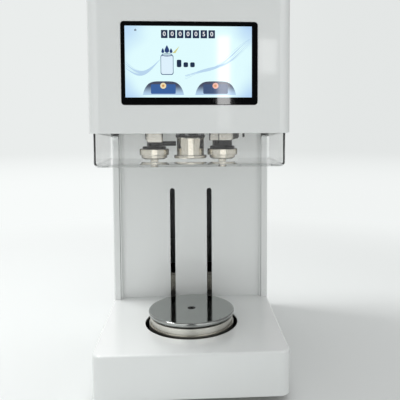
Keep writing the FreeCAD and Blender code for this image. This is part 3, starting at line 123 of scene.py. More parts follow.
class SeamerSizes(bpy.types.PropertyGroup):
    """Sizes of the screen and of the fasteners."""

    screen_left: length_property("Left border", "Black glass left of the lit screen", 4.6)
    screen_right: length_property("Right border", "Black glass right of the lit screen", 6.8)
    screen_top: length_property("Top border", "Black glass above the lit screen", 5.1)
    screen_foot: length_property("Foot border", "Black glass below the lit screen", 8.7)
    tile_width: length_property("Tile width", "Width of one counter tile", 7.9)
    tile_height: length_property("Tile height", "Height of one counter tile", 9.7)
    tile_pitch: length_property("Tile pitch", "Distance between counter tiles", 9.55)
    tile_count: IntProperty(name="Tiles", description="Digits of the counter", default=7, min=1, max=10)
    count_text: StringProperty(name="Count", description="Digits that the counter shows", default="0000050")
    screw_head: length_property("Screw head", "Radius of the cover screws' pan heads", 2.8)
    guard_span: length_property("Guard screws", "Distance between the two screws of a guard side", 70)
    guard_inset: length_property("Guard inset", "Rear guard screw in front of the guard's rear edge", 11)
    guard_screw_drop: length_property("Guard screw drop", "Guard screws below the guard's top edge", 4.7)
    clamp_head: length_property("Clamp screw", "Radius of the arm's clamp screw", 4)
    clamp_drop: length_property("Clamp drop", "Clamp screw below the arm's top", 5)
    flange: length_property("Flange", "Thickness of the spindle's flange on the chuck", 3)
    bolt_head: length_property("Bolt head", "Radius of the chuck bolts' heads", 2.6)
    bolt_circle: length_property("Bolt circle", "Radius of the circle that the chuck bolts stand on", 18)


class SeamerStage(bpy.types.PropertyGroup):
    """Camera, lamps and floor."""

    lens: FloatProperty(name="Lens", description="Focal length in millimetres", default=46.84, min=10)
    yaw: FloatProperty(name="Yaw", description="Camera turn to the right, degrees", default=3.369)
    pitch: FloatProperty(name="Pitch", description="Camera tilt downwards, degrees", default=3.743)
    roll: FloatProperty(name="Roll", description="Camera roll, degrees", default=-0.18)
    eye: FloatVectorProperty(
        name="Eye", description="Camera place", subtype="XYZ", unit="LENGTH", size=3,
        default=(0.00058, -0.8161, 0.3551),
    )
    floor: colour_property("Floor", "Pale studio floor", "#F8FBFA")
    matt: colour_property("Floor coat", "Matt coat of the floor near the machine", "#E2E5E4")
    backdrop: colour_property("Backdrop", "Studio backdrop", "#EAEDEC")
    even_light: FloatProperty(name="Even light", description="Light from all round", default=0.62, min=0)


# ---------------------------------------------------------------------------------------------
# Materials
# ---------------------------------------------------------------------------------------------
def add(tree, kind, inputs=None, links=None, **settings):
    """Add a node: its settings, the constants of its inputs, and the sockets that feed its inputs."""
    node = tree.nodes.new(kind)
    for name, value in settings.items():
        setattr(node, name, value)
    for key, value in (inputs or {}).items():
        node.inputs[key].default_value = value
    for key, source in (links or {}).items():
        tree.links.new(source, node.inputs[key])
    return node


def finish(name, colour, roughness, metallic=0.0, **more):
    """A material with a Principled shader. Its constants stand on the shader's own sockets."""
    made = bpy.data.materials.new(name)
    made.use_nodes = True
    tree = made.node_tree
    shader = tree.nodes["Principled BSDF"]
    shader.inputs["Base Color"].default_value = (*colour, 1)
    shader.inputs["Roughness"].default_value = roughness
    shader.inputs["Metallic"].default_value = metallic
    for key, value in more.items():
        shader.inputs[key.replace("_", " ")].default_value = value
    made.diffuse_color = (*colour, 1)
    return made, tree, shader


def place_of(tree, centre=(0, 0, 0), scale=(1, 1, 1)):
    """Object coordinates about a centre."""
    where = add(tree, "ShaderNodeTexCoord")
    return add(
        tree, "ShaderNodeMapping",
        inputs={"Location": [-c * s for c, s in zip(centre, scale)], "Scale": scale},
        links={"Vector": where.outputs["Object"]},
    ).outputs["Vector"]


def rough_band(tree, shader, source, low, high):
    """Let a pattern move the roughness between two values."""
    band = add(
        tree, "ShaderNodeMapRange", inputs={"To Min": low, "To Max": high}, links={"Value": source}
    )
    tree.links.new(band.outputs["Result"], shader.inputs["Roughness"])


def relief(tree, shader, source, height, strength=1.0, edge=0.0):
    """Let a pattern press into the surface, by a height in metres; edge rounds the sharp edges."""
    bump = add(
        tree, "ShaderNodeBump", inputs={"Strength": strength, "Distance": height}, links={"Height": source}
    )
    if edge:
        soft = add(tree, "ShaderNodeBevel", inputs={"Radius": edge}, samples=4)
        tree.links.new(soft.outputs["Normal"], bump.inputs["Normal"])
    tree.links.new(bump.outputs["Normal"], shader.inputs["Normal"])


def ramp(tree, source, stops):
    """Colours between stops of (place, colour) along a value."""
    node = add(tree, "ShaderNodeValToRGB", links={"Fac": source})
    band = node.color_ramp.elements
    while len(band) < len(stops):
        band.new(0.5)
    for element, (place, colour) in zip(band, stops):
        element.position = place
        element.color = colour
    return node.outputs["Color"]


def noise(tree, vector, grain, detail=2.0):
    """Noise whose grains are about this many metres wide."""
    return add(
        tree, "ShaderNodeTexNoise", inputs={"Scale": 1 / grain, "Detail": detail}, links={"Vector": vector}
    ).outputs["Fac"]


def rings(tree, vector, pitch):
    """Turning marks: rings about the Z axis, so many metres apart."""
    flat = add(
        tree, "ShaderNodeVectorMath", operation="MULTIPLY", inputs={1: (1, 1, 0)}, links={0: vector}
    ).outputs[0]
    radius = add(tree, "ShaderNodeVectorMath", operation="LENGTH", links={0: flat}).outputs["Value"]
    level = add(tree, "ShaderNodeSeparateXYZ", links={0: vector}).outputs["Z"]
    line = add(tree, "ShaderNodeCombineXYZ", links={0: radius, 1: level})
    return add(
        tree, "ShaderNodeTexNoise", inputs={"Scale": 1 / pitch, "Detail": 1.0}, links={"Vector": line.outputs[0]}
    ).outputs["Fac"]


def white_enamel(colours):
    """Polyester powder coat, sprayed and baked: glossy, with a faint orange peel of about 2 mm."""
    made, tree, shader = finish(
        "gloss_powder_coat", colours.enamel, 0.32, Coat_Weight=0.8, Coat_Roughness=0.06, Specular_IOR_Level=0.45
    )
    spot = place_of(tree)
    relief(tree, shader, noise(tree, spot, 2.2 * MM, 1.0), 0.012 * MM, 0.5, 0.5 * MM)
    rough_band(tree, shader, noise(tree, spot, 30 * MM), 0.28, 0.36)
    return made


def black_coat(colours):
    """Satin black powder coat: fine leathery grain that blurs every reflection."""
    made, tree, shader = finish("satin_black_coat", colours.black, 0.42, Specular_IOR_Level=0.25)
    spot = place_of(tree)
    relief(tree, shader, noise(tree, spot, 0.5 * MM), 0.03 * MM, 0.6, 0.3 * MM)
    rough_band(tree, shader, noise(tree, spot, 6 * MM), 0.36, 0.5)
    return made


def black_oxide():
    """Blackened steel of collars, lever and spindle flange: deep black with a low oily shine."""
    made, tree, shader = finish("black_oxide", linear("#050506"), 0.34, Specular_IOR_Level=0.12)
    spot = place_of(tree)
    relief(tree, shader, noise(tree, spot, 0.4 * MM), 0.01 * MM, 0.5, 0.25 * MM)
    rough_band(tree, shader, noise(tree, spot, 5 * MM), 0.28, 0.4)
    return made


def turned_steel(name, colour, roughness, centre, pitch, depth, edge=1.0):
    """Steel off the lathe: rings of fine turning marks streak the reflections; edge darkens the sides."""
    made, tree, shader = finish(name, colour, roughness, 1.0, Specular_Tint=(edge, edge, edge, 1))
    spot = place_of(tree, centre)
    marks = rings(tree, spot, pitch)
    relief(tree, shader, marks, depth, 0.7, 0.25 * MM)
    rough_band(tree, shader, marks, roughness * 0.7, roughness * 1.4)
    return made


def ground_steel(colours):
    """Ground mild steel of arms and plates: short scratches along X on a grey sheen."""
    made, tree, shader = finish("ground_steel", linear("#B7B4AC"), 0.26, 1.0, Specular_Tint=(0, 0, 0, 1))
    spot = place_of(tree, scale=(0.08, 1, 1))
    marks = noise(tree, spot, 0.4 * MM, 3.0)
    relief(tree, shader, marks, 0.01 * MM, 0.5, 0.3 * MM)
    rough_band(tree, shader, marks, 0.2, 0.32)
    return made


def cast_aluminium():
    """Sand-blasted aluminium of motor ends and coupling: pale, matt and faintly grainy."""
    made, tree, shader = finish("blasted_aluminium", linear("#B9BBBC"), 0.48, 1.0)
    spot = place_of(tree)
    relief(tree, shader, noise(tree, spot, 0.35 * MM), 0.02 * MM, 0.6, 0.3 * MM)
    rough_band(tree, shader, noise(tree, spot, 4 * MM), 0.42, 0.56)
    return made


def soft_rubber(colours):
    """Moulded nitrile rubber: near black and dull, with the bloom that handling leaves."""
    made, tree, shader = finish("moulded_rubber", colours.rubber, 0.75, Specular_IOR_Level=0.3)
    spot = place_of(tree)
    relief(tree, shader, noise(tree, spot, 0.8 * MM), 0.05 * MM, 0.5)
    rough_band(tree, shader, noise(tree, spot, 9 * MM), 0.68, 0.86)
    return made


def belt_rubber(colours):
    """Flat neoprene belt: cords show as fine ribs along its edge."""
    made, tree, shader = finish("ribbed_belt", colours.rubber, 0.62)
    spot = place_of(tree, scale=(0.05, 0.05, 1))
    relief(tree, shader, noise(tree, spot, 1.2 * MM), 0.1 * MM, 0.8)
    return made


def moulded_plastic():
    """Black ABS from a spark-eroded mould: even fine grain under a soft shine."""
    made, tree, shader = finish("moulded_abs", linear("#121315"), 0.38)
    spot = place_of(tree)
    relief(tree, shader, noise(tree, spot, 0.45 * MM), 0.02 * MM, 0.5, 0.3 * MM)
    rough_band(tree, shader, noise(tree, spot, 5 * MM), 0.34, 0.46)
    return made


def motor_paint():
    """Dark stoving paint over a pressed case: shallow ripples and a dull shine."""
    made, tree, shader = finish("stoving_paint", linear("#24272B"), 0.4)
    spot = place_of(tree)
    relief(tree, shader, noise(tree, spot, 1.5 * MM), 0.02 * MM, 0.4, 0.5 * MM)
    rough_band(tree, shader, noise(tree, spot, 12 * MM), 0.34, 0.48)
    return made


def bearing_bronze(colours):
    """Turned bronze: warm yellow-brown with fine rings."""
    made, tree, shader = finish("turned_bronze", colours.bronze, 0.28, 1.0)
    marks = noise(tree, place_of(tree, scale=(1, 1, 6)), 0.6 * MM)
    relief(tree, shader, marks, 0.01 * MM, 0.5)
    rough_band(tree, shader, marks, 0.22, 0.36)
    return made


def circuit_board(colours):
    """Glass-fibre board under green solder mask: paler tracks run across it."""
    made, tree, shader = finish("solder_mask", colours.board, 0.35)
    spot = place_of(tree)
    tracks = add(
        tree, "ShaderNodeTexBrick",
        inputs={
            "Scale": 1.0, "Brick Width": 6 * MM, "Row Height": 2.5 * MM, "Mortar Size": 0.3 * MM,
            "Color1": (*colours.board, 1), "Color2": (*linear("#26683F"), 1), "Mortar": (*linear("#4C8C5A"), 1),
        },
        links={"Vector": add(tree, "ShaderNodeMapping", inputs={"Rotation": (math.pi / 2, 0, 0)},
                             links={"Vector": spot}).outputs[0]},
    )
    tree.links.new(tracks.outputs["Color"], shader.inputs["Base Color"])
    return made


def display_glass():
    """Float glass printed black on its back: deep black with a hard, clear reflection."""
    made, tree, shader = finish(
        "black_backed_glass", linear("#040506"), 0.04, Specular_IOR_Level=0.5, Coat_Weight=0.3, Coat_Roughness=0.02
    )
    relief(tree, shader, noise(tree, place_of(tree), 14 * MM, 1.0), 0.004 * MM, 0.3, 0.25 * MM)
    return made


def clear_acrylic(colours):
    """Thin cast acrylic, heat-formed: clear, with painted shade darkening its bends and rims where they turn edge-on
    and a painted grey band along its foot, and it lets the lamps through.
    """
    made, tree, shader = finish(
        "clear_cast_acrylic", colours.acrylic, 0.02, Transmission_Weight=1.0, IOR=1.03,
        Coat_Weight=1.0, Coat_IOR=1.49, Coat_Roughness=0.02,
    )
    relief(tree, shader, noise(tree, place_of(tree), 18 * MM, 1.0), 0.01 * MM, 0.4)
    # painted shade: the colour goes from clear to grey and near black as the surface turns edge-on, so the bends and
    # rims read dark
    facing = add(tree, "ShaderNodeLayerWeight", inputs={"Blend": 0.5})
    painted_rim_shade = ramp(
        tree, facing.outputs["Facing"],
        ((0.84, (*colours.acrylic, 1)), (0.92, (0.8, 0.82, 0.82, 1)), (0.985, (0.12, 0.13, 0.13, 1))),
    )
    # painted shade: the lowest 3 to 5 mm of the guard are darkened to 0.76 of the colour, a grey band along its foot
    height = add(tree, "ShaderNodeSeparateXYZ", links={0: place_of(tree)}).outputs["Z"]
    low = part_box("clear_guard")[0].z
    foot = add(
        tree, "ShaderNodeMapRange", links={"Value": height}, interpolation_type="SMOOTHSTEP",
        inputs={"From Min": low + 3.2 * MM, "From Max": low + 4.6 * MM, "To Min": 0.76},
    )
    tint = add(tree, "ShaderNodeVectorMath", operation="SCALE", links={0: painted_rim_shade, "Scale": foot.outputs[0]})
    tree.links.new(tint.outputs[0], shader.inputs["Base Color"])
    path = add(tree, "ShaderNodeLightPath")
    through = add(tree, "ShaderNodeBsdfTransparent", inputs={"Color": (*linear("#FAFCFC"), 1)})
    shaded = add(
        tree, "ShaderNodeMixShader",
        links={0: path.outputs["Is Shadow Ray"], 1: shader.outputs[0], 2: through.outputs[0]},
    )
    tree.links.new(shaded.outputs[0], tree.nodes["Material Output"].inputs["Surface"])
    return made


def lit(name, colour, glow=0.85, far=None, level=None):
    """A lit patch of the screen under its cover glass; far fades it to a second colour over two levels."""
    made, tree, shader = finish(name, colour, 0.06, Specular_IOR_Level=0.5)
    dots = noise(tree, place_of(tree), 0.6 * MM, 0.0)
    grid = add(tree, "ShaderNodeMapRange", inputs={"To Min": 0.97, "To Max": 1.03}, links={"Value": dots})
    tint = add(
        tree, "ShaderNodeMix", data_type="RGBA", blend_type="MULTIPLY",
        inputs={0: 1.0, 6: (*colour, 1)}, links={7: grid.outputs[0]},
    )
    if far is not None:
        height = add(tree, "ShaderNodeSeparateXYZ", links={0: place_of(tree)}).outputs["Z"]
        share = add(
            tree, "ShaderNodeMapRange", inputs={"From Min": level[0], "From Max": level[1]},
            links={"Value": height}, interpolation_type="SMOOTHSTEP",
        )
        blend = add(
            tree, "ShaderNodeMix", data_type="RGBA", inputs={6: (*colour, 1), 7: (*far, 1)},
            links={0: share.outputs[0]},
        )
        tree.links.new(blend.outputs[2], tint.inputs[6])
    shader.inputs["Base Color"].default_value = (0.004, 0.004, 0.004, 1)
    tree.links.new(tint.outputs[2], shader.inputs["Emission Color"])
    shader.inputs["Emission Strength"].default_value = glow
    return made


def screen_field(colours, low, high):
    """The screen's own field: pale cyan in the middle, deeper blue towards the corners."""
    made, tree, shader = finish("lit_screen_field", colours.screen_pale, 0.06, Specular_IOR_Level=0.5)
    middle = (low + high) / 2
    span = high - low
    spot = place_of(tree, (middle.x, middle.y, middle.z), (1.7 / span.x, 1, 1.25 / span.z))
    ball = add(
        tree, "ShaderNodeTexGradient", gradient_type="SPHERICAL",
        links={"Vector": add(tree, "ShaderNodeVectorMath", operation="MULTIPLY", inputs={1: (0.9, 0, 0.9)},
                             links={0: spot}).outputs[0]},
    )
    cloud = noise(tree, spot, 0.6, 1.0)
    share = add(tree, "ShaderNodeMath", operation="MULTIPLY_ADD", inputs={1: 0.5, 2: -0.2}, links={0: cloud})
    total = add(tree, "ShaderNodeMath", operation="ADD", links={0: ball.outputs["Fac"], 1: share.outputs[0]})
    band = add(
        tree, "ShaderNodeMapRange", inputs={"From Min": 0.0, "From Max": 0.42}, links={"Value": total.outputs[0]},
        interpolation_type="SMOOTHSTEP",
    )
    blend = add(
        tree, "ShaderNodeMix", data_type="RGBA",
        inputs={6: (*colours.screen_blue, 1), 7: (*colours.screen_pale, 1)}, links={0: band.outputs[0]},
    )
    shader.inputs["Base Color"].default_value = (0.004, 0.004, 0.004, 1)
    tree.links.new(blend.outputs[2], shader.inputs["Emission Color"])
    shader.inputs["Emission Strength"].default_value = 1.0
    return made


# ---------------------------------------------------------------------------------------------
# Mesh helpers
# ---------------------------------------------------------------------------------------------
def piece(name, mesh, body, material=None):
    """Put a finished mesh in the scene, riding on a body."""
    made = bpy.data.objects.new(name, mesh)
    bpy.context.scene.collection.objects.link(made)
    if material:
        mesh.materials.clear()
        mesh.materials.append(material)
    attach(made, body)
    return made


def flat_patch(outlines, y):
    """A mesh of flat patches that face the front: each outline is a list of (x, z), counter-clockwise."""
    mesh = bpy.data.meshes.new("Patch")
    shape = bmesh.new()
    for outline in outlines:
        corners = [shape.verts.new((x, y, z)) for x, z in outline]
        shape.faces.new(corners)
    bmesh.ops.triangulate(shape, faces=shape.faces[:])
    for face in shape.faces:
        if face.normal.y > 0:
            face.normal_flip()
    shape.to_mesh(mesh)
    shape.free()
    return mesh


def round_box(x, z, width, height, radius, steps=5):
    """Outline of a rectangle with round corners, from its lower left corner."""
    points = []
    for corner, (cx, cz) in enumerate((
        (x + width - radius, z + radius), (x + width - radius, z + height - radius),
        (x + radius, z + height - radius), (x + radius, z + radius),
    )):
        for step in range(steps + 1):
            turn = math.pi / 2 * (corner - 1 + step / steps)
            points.append((cx + radius * math.cos(turn), cz + radius * math.sin(turn)))
    return points


def disc(x, z, radius, steps=28):
    """Outline of a round patch."""
    turns = [2 * math.pi * i / steps for i in range(steps)]
    return [(x + radius * math.cos(t), z + radius * math.sin(t)) for t in turns]


def ribbon(points, widths):
    """Quads along a line of (x, z) points, with a width at each."""
    quads = []
    for (x0, z0), (x1, z1), w0, w1 in zip(points, points[1:], widths, widths[1:]):
        quads.append([(x0, z0 - w0 / 2), (x1, z1 - w1 / 2), (x1, z1 + w1 / 2), (x0, z0 + w0 / 2)])
    return quads


def frame_line(outline, inset):
    """Quads between a closed outline and the same outline drawn in towards its middle."""
    mx = sum(p[0] for p in outline) / len(outline)
    mz = sum(p[1] for p in outline) / len(outline)
    quads = []
    count = len(outline)
    inner = []
    for x, z in outline:
        far = math.hypot(x - mx, z - mz)
        share = 1 - inset / far
        inner.append((mx + (x - mx) * share, mz + (z - mz) * share))
    for i in range(count):
        j = (i + 1) % count
        quads.append([outline[i], outline[j], inner[j], inner[i]])
    return quads


# ---------------------------------------------------------------------------------------------
# Geometry Nodes
# ---------------------------------------------------------------------------------------------
def new_tree(name, sockets):
    """A geometry tree with named inputs: (name, socket type, default)."""
    tree = bpy.data.node_groups.new(name, "GeometryNodeTree")
    tree.interface.new_socket(name="Geometry", in_out="OUTPUT", socket_type="NodeSocketGeometry")
    for label, kind, default in sockets:
        socket = tree.interface.new_socket(name=label, in_out="INPUT", socket_type=kind)
        if default is not None:
            socket.default_value = default
    return tree


def run_tree(tree, name, values):
    """Evaluate a geometry tree with its inputs set, and return the plain mesh."""
    holder = bpy.data.objects.new(name + "_maker", bpy.data.meshes.new(name + "_seed"))
    bpy.context.scene.collection.objects.link(holder)
    modifier = holder.modifiers.new("Nodes", "NODES")
    modifier.node_group = tree
    for item in tree.interface.items_tree:
        if item.in_out == "INPUT" and item.name in values:
            modifier[item.identifier] = values[item.name]
    bpy.context.view_layer.update()
    result = holder.evaluated_get(bpy.context.evaluated_depsgraph_get())
    mesh = bpy.data.meshes.new_from_object(result)
    mesh.name = name
    holder.modifiers.remove(modifier)
    bpy.data.objects.remove(holder)
    return mesh


# ---------------------------------------------------------------------------------------------
# Operators: one for each piece or group of like pieces
# ---------------------------------------------------------------------------------------------
def colours_of(context):
    return context.scene.seamer_colours


def dress(material, *names):
    """Give CAD nodes a material."""
    for name in names:
        target = frame["nodes"][name]
        target.data.materials.clear()
        target.data.materials.append(material)


class SEAMER_OT_covers(bpy.types.Operator):
    """Coat the white covers and the black frame, liner and arms"""

    bl_idname = "seamer.covers"
    bl_label = "Covers and frame"

    def execute(self, context):
        colours = colours_of(context)
        dress(
            white_enamel(colours), "base_cover", "left_side_cover", "right_side_cover",
            "column_front_panel", "rear_cover", "head_front_cover", "head_top_cover",
        )
        dress(black_coat(colours), "column_frame", "lift_arms", "motor_brackets")
        dress(moulded_plastic(), "well_liner", "display_housing", "power_inlet", "switch_rocker")
        dress(soft_rubber(colours), "rubber_feet")
        dress(belt_rubber(colours), "drive_belt")
        dress(motor_paint(), "main_motor", "left_arm_motor", "right_arm_motor", "lift_motor")
        dress(cast_aluminium(), "power_supply", "screw_coupling", "spindle_pulley", "motor_pulley")
        dress(circuit_board(colours), "control_board")
        dress(bearing_bronze(colours), "lead_nut", "pivot_bushes", "screw_bearing")
        return {"FINISHED"}


class SEAMER_OT_metal(bpy.types.Operator):
    """Finish the bright parts: chuck, rolls, arms, table, rods and gears"""

    bl_idname = "seamer.metal"
    bl_label = "Bright parts"

    def execute(self, context):
        colours = colours_of(context)
        low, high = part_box("seaming_chuck")
        middle = (low + high) / 2
        chuck = turned_steel("polished_tool_steel", colours.tool_steel, 0.1, middle, 0.5 * MM, 0.004 * MM, 0.0)
        dress(chuck, "seaming_chuck")
        for side in ("left", "right"):
            low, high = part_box(side + "_roll")
            axis = (low + high) / 2
            roll = turned_steel(
                side + "_polished_roll_steel", colours.tool_steel, 0.12, axis, 0.5 * MM, 0.004 * MM, 0.0
            )
            dress(roll, side + "_roll", side + "_roll_pin")
        dress(black_oxide(), "left_collar", "right_collar", "left_lever", "spindle_shaft", "plate_screw")
        dress(
            ground_steel(colours), "left_arm", "right_arm", "head_plate", "left_sector_shaft",
            "right_sector_shaft", "left_pinion", "right_pinion", "carriage_bracket", "base_plate",
        )
        low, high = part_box("turn_plate")
        axis = (low + high) / 2
        plate = turned_steel("mirror_stainless", colours.plate_steel, 0.07, axis, 1.2 * MM, 0.001 * MM)
        dress(plate, "turn_plate")
        drum = turned_steel("satin_stainless", colours.drum_steel, 0.3, axis, 0.6 * MM, 0.01 * MM)
        dress(drum, "table_drum", "plate_hub")
        plain = turned_steel("bearing_steel", linear("#B8BABC"), 0.2, (0, 0, 0), 0.8 * MM, 0.005 * MM)
        dress(
            plain, "spindle_housing", "spindle_bearings", "plate_bearing", "linear_bearings",
            "guide_rods", "lead_screw", "cover_screws", "chuck_bolts",
        )
        return {"FINISHED"}


class SEAMER_OT_guard(bpy.types.Operator):
    """Give the guard its clear acrylic and the display its black glass"""

    bl_idname = "seamer.guard"
    bl_label = "Guard and glass"

    def execute(self, context):
        dress(clear_acrylic(colours_of(context)), "clear_guard")
        dress(display_glass(), "display_glass")
        return {"FINISHED"}


def revolved(name, profile, centre, turns=96, axis="Z"):
    """A closed ring mesh from a profile of (radius, height) points, turned about an axis."""
    mesh = bpy.data.meshes.new(name)
    shape = bmesh.new()
    rows = []
    for turn in range(turns):
        angle = 2 * math.pi * turn / turns
        rows.append([shape.verts.new((r * math.cos(angle), r * math.sin(angle), z)) for r, z in profile])
    for row, after in zip(rows, rows[1:] + rows[:1]):
        for i in range(len(profile)):
            j = (i + 1) % len(profile)
            shape.faces.new((row[i], after[i], after[j], row[j]))
    bmesh.ops.remove_doubles(shape, verts=shape.verts[:], dist=1e-6)
    bmesh.ops.recalc_face_normals(shape, faces=shape.faces[:])
    shape.to_mesh(mesh)
    shape.free()
    if axis == "X":
        mesh.transform(Matrix.Rotation(math.pi / 2, 4, "Y"))
    mesh.transform(Matrix.Translation(centre))
    return mesh


def scaled(tree, source, scale):
    """Geometry stretched by a vector of input sockets."""
    size = add(tree, "ShaderNodeCombineXYZ", links=dict(enumerate(scale)))
    return add(
        tree, "GeometryNodeTransform", links={"Geometry": source, "Scale": size.outputs[0]}
    ).outputs[0]


def carved(tree, source, cutters):
    """Geometry with cutters taken away."""
    both = add(tree, "GeometryNodeJoinGeometry")
    for cutter in cutters:
        tree.links.new(cutter, both.inputs[0])
    return add(
        tree, "GeometryNodeMeshBoolean", operation="DIFFERENCE", links={0: source, 1: both.outputs[0]}
    ).outputs[0]


def copied(tree, source, points, shape):
    """Copies of a shape on points, made real and given the tree's material."""
    copies = add(tree, "GeometryNodeInstanceOnPoints", links={"Points": points, "Instance": shape})
    real = add(tree, "GeometryNodeRealizeInstances", links={0: copies.outputs[0]})
    coated = add(
        tree, "GeometryNodeSetMaterial",
        links={"Geometry": real.outputs[0], "Material": source.outputs["Material"]},
    )
    add(tree, "NodeGroupOutput", links={0: coated.outputs[0]})


def cross_screws():
    """A grid of pan-head screws, each a dome with a cross recess."""
    tree = new_tree("CrossScrews", [
        ("Radius", "NodeSocketFloat", 0.003), ("Height", "NodeSocketFloat", 0.0016),
        ("Columns", "NodeSocketInt", 2), ("Rows", "NodeSocketInt", 5),
        ("Width", "NodeSocketFloat", 0.2), ("Length", "NodeSocketFloat", 0.4),
        ("Material", "NodeSocketMaterial", None),
    ])
    source = add(tree, "NodeGroupInput")
    ball = add(tree, "GeometryNodeMeshUVSphere", inputs={"Segments": 24, "Rings": 12, "Radius": 1.0})
    below = add(tree, "GeometryNodeMeshCube", inputs={"Size": (4, 4, 4)})
    lower = add(
        tree, "GeometryNodeTransform", inputs={"Translation": (0, 0, -2)}, links={"Geometry": below.outputs[0]}
    )
    cutters = [lower.outputs[0]]
    for size in ((1.15, 0.24, 0.7), (0.24, 1.15, 0.7)):
        slot = add(tree, "GeometryNodeMeshCube", inputs={"Size": size})
        lifted = add(
            tree, "GeometryNodeTransform", inputs={"Translation": (0, 0, 1)}, links={"Geometry": slot.outputs[0]}
        )
        cutters.append(lifted.outputs[0])
    head = scaled(tree, carved(tree, ball.outputs[0], cutters), [
        source.outputs["Radius"], source.outputs["Radius"], source.outputs["Height"],
    ])
    grid = add(
        tree, "GeometryNodeMeshGrid",
        links={"Size X": source.outputs["Width"], "Size Y": source.outputs["Length"],
               "Vertices X": source.outputs["Columns"], "Vertices Y": source.outputs["Rows"]},
    )
    copied(tree, source, grid.outputs[0], head)
    return tree


def socket_bolts():
    """A ring of socket-head bolts: a knurled head with a hexagon socket."""
    tree = new_tree("SocketBolts", [
        ("Radius", "NodeSocketFloat", 0.0026), ("Height", "NodeSocketFloat", 0.0045),
        ("Count", "NodeSocketInt", 6), ("Circle", "NodeSocketFloat", 0.018),
        ("Material", "NodeSocketMaterial", None),
    ])
    source = add(tree, "NodeGroupInput")
    barrel = add(tree, "GeometryNodeMeshCylinder", inputs={"Vertices": 48, "Radius": 1.0, "Depth": 1.0})
    number = add(tree, "GeometryNodeInputIndex")
    odd = add(tree, "ShaderNodeMath", operation="MODULO", inputs={1: 2.0}, links={0: number.outputs[0]})
    draw_in = add(tree, "ShaderNodeMapRange", inputs={"To Min": 1.0, "To Max": 0.93}, links={"Value": odd.outputs[0]})
    squeeze = add(
        tree, "ShaderNodeCombineXYZ", inputs={2: 1.0}, links={0: draw_in.outputs[0], 1: draw_in.outputs[0]}
    )
    spot = add(tree, "GeometryNodeInputPosition")
    ribbed = add(
        tree, "ShaderNodeVectorMath", operation="MULTIPLY", links={0: spot.outputs[0], 1: squeeze.outputs[0]}
    )
    knurled = add(
        tree, "GeometryNodeSetPosition", links={"Geometry": barrel.outputs[0], "Position": ribbed.outputs[0]}
    )
    key = add(tree, "GeometryNodeMeshCylinder", inputs={"Vertices": 6, "Radius": 0.55, "Depth": 1.0})
    lifted = add(
        tree, "GeometryNodeTransform", inputs={"Translation": (0, 0, 0.5)}, links={"Geometry": key.outputs[0]}
    )
    head = scaled(tree, carved(tree, knurled.outputs[0], [lifted.outputs[0]]), [
        source.outputs["Radius"], source.outputs["Radius"], source.outputs["Height"],
    ])
    circle = add(
        tree, "GeometryNodeMeshCircle",
        links={"Vertices": source.outputs["Count"], "Radius": source.outputs["Circle"]},
    )
    copied(tree, source, circle.outputs[0], head)
    return tree


class SEAMER_OT_fasteners(bpy.types.Operator):
    """Put cross-recess screws in the covers, socket bolts in the chuck and a clamp screw in the right arm"""

    bl_idname = "seamer.fasteners"
    bl_label = "Fasteners"

    def execute(self, context):
        sizes = context.scene.seamer_sizes
        steel = turned_steel("bright_zinc", linear("#C4C6C8"), 0.25, (0, 0, 0), 0.6 * MM, 0.003 * MM)
        self.cover_screws(sizes, steel)
        self.chuck_bolts(sizes)
        low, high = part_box("right_arm")
        centre = Vector((high.x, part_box("right_roll_pin")[0].y + 6 * MM, high.z - sizes.clamp_drop))
        head = sizes.clamp_head
        profile = [
            (0.45 * head, 0), (head, 0), (head, 0.5 * head), (0.9 * head, 0.6 * head),
            (0.45 * head, 0.6 * head),
        ]
        clamp = revolved("clamp_screw", profile, centre, 48, "X")
        piece("right_clamp_screw", clamp, "right_roll_arm", black_oxide())
        return {"FINISHED"}

    def cover_screws(self, sizes, steel):
        """Screws of the rear cover, and of both sides of the guard."""
        tree = cross_screws()
        low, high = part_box("cover_screws")
        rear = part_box("rear_cover")[1].y
        radius = sizes.screw_head
        wide = high.x - low.x - 2 * radius
        tall = high.z - low.z - 2 * radius
        mesh = run_tree(tree, "rear_screws", {
            "Radius": radius, "Height": high.y - rear, "Columns": 2, "Rows": 5, "Width": wide,
            "Length": tall, "Material": steel,
        })
        middle = Vector((0, rear, (low.z + high.z) / 2))
        mesh.transform(Matrix.Translation(middle) @ Matrix.Rotation(-math.pi / 2, 4, "X"))
        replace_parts(piece("rear_screws", mesh, "machine"), "cover_screws")
        guard_low, guard_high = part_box("clear_guard")
        for side, sign in (("left", -1), ("right", 1)):
            mesh = run_tree(tree, side + "_guard_screws", {
                "Radius": radius, "Height": 1.5 * MM, "Columns": 1, "Rows": 2, "Width": radius,
                "Length": sizes.guard_span, "Material": steel,
            })
            middle = Vector((
                sign * guard_high.x, guard_high.y - sizes.guard_inset - sizes.guard_span / 2,
                guard_high.z - sizes.guard_screw_drop,
            ))
            mesh.transform(Matrix.Translation(middle) @ Matrix.Rotation(sign * math.pi / 2, 4, "Y"))
            made = piece(side + "_guard_screws", mesh, "machine")
            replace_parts(made, "cover_screws")

    def chuck_bolts(self, sizes):
        """Six socket bolts of grey bolt steel on the spindle's flange."""
        low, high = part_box("chuck_bolts")
        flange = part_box("seaming_chuck")[1].z + sizes.flange
        tall = high.z - flange
        mesh = run_tree(socket_bolts(), "chuck_bolts", {
            "Radius": sizes.bolt_head, "Height": tall, "Count": 6, "Circle": sizes.bolt_circle,
            "Material": turned_steel("bolt_steel", linear("#8E8F90"), 0.3, (0, 0, 0), 0.5 * MM, 0.003 * MM),
        })
        axis = (low + high) / 2
        turn = Matrix.Rotation(math.radians(14), 4, "Z")
        mesh.transform(Matrix.Translation((axis.x, axis.y, flange + tall / 2)) @ turn)
        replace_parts(piece("socket_bolts", mesh, "spindle"), "chuck_bolts")


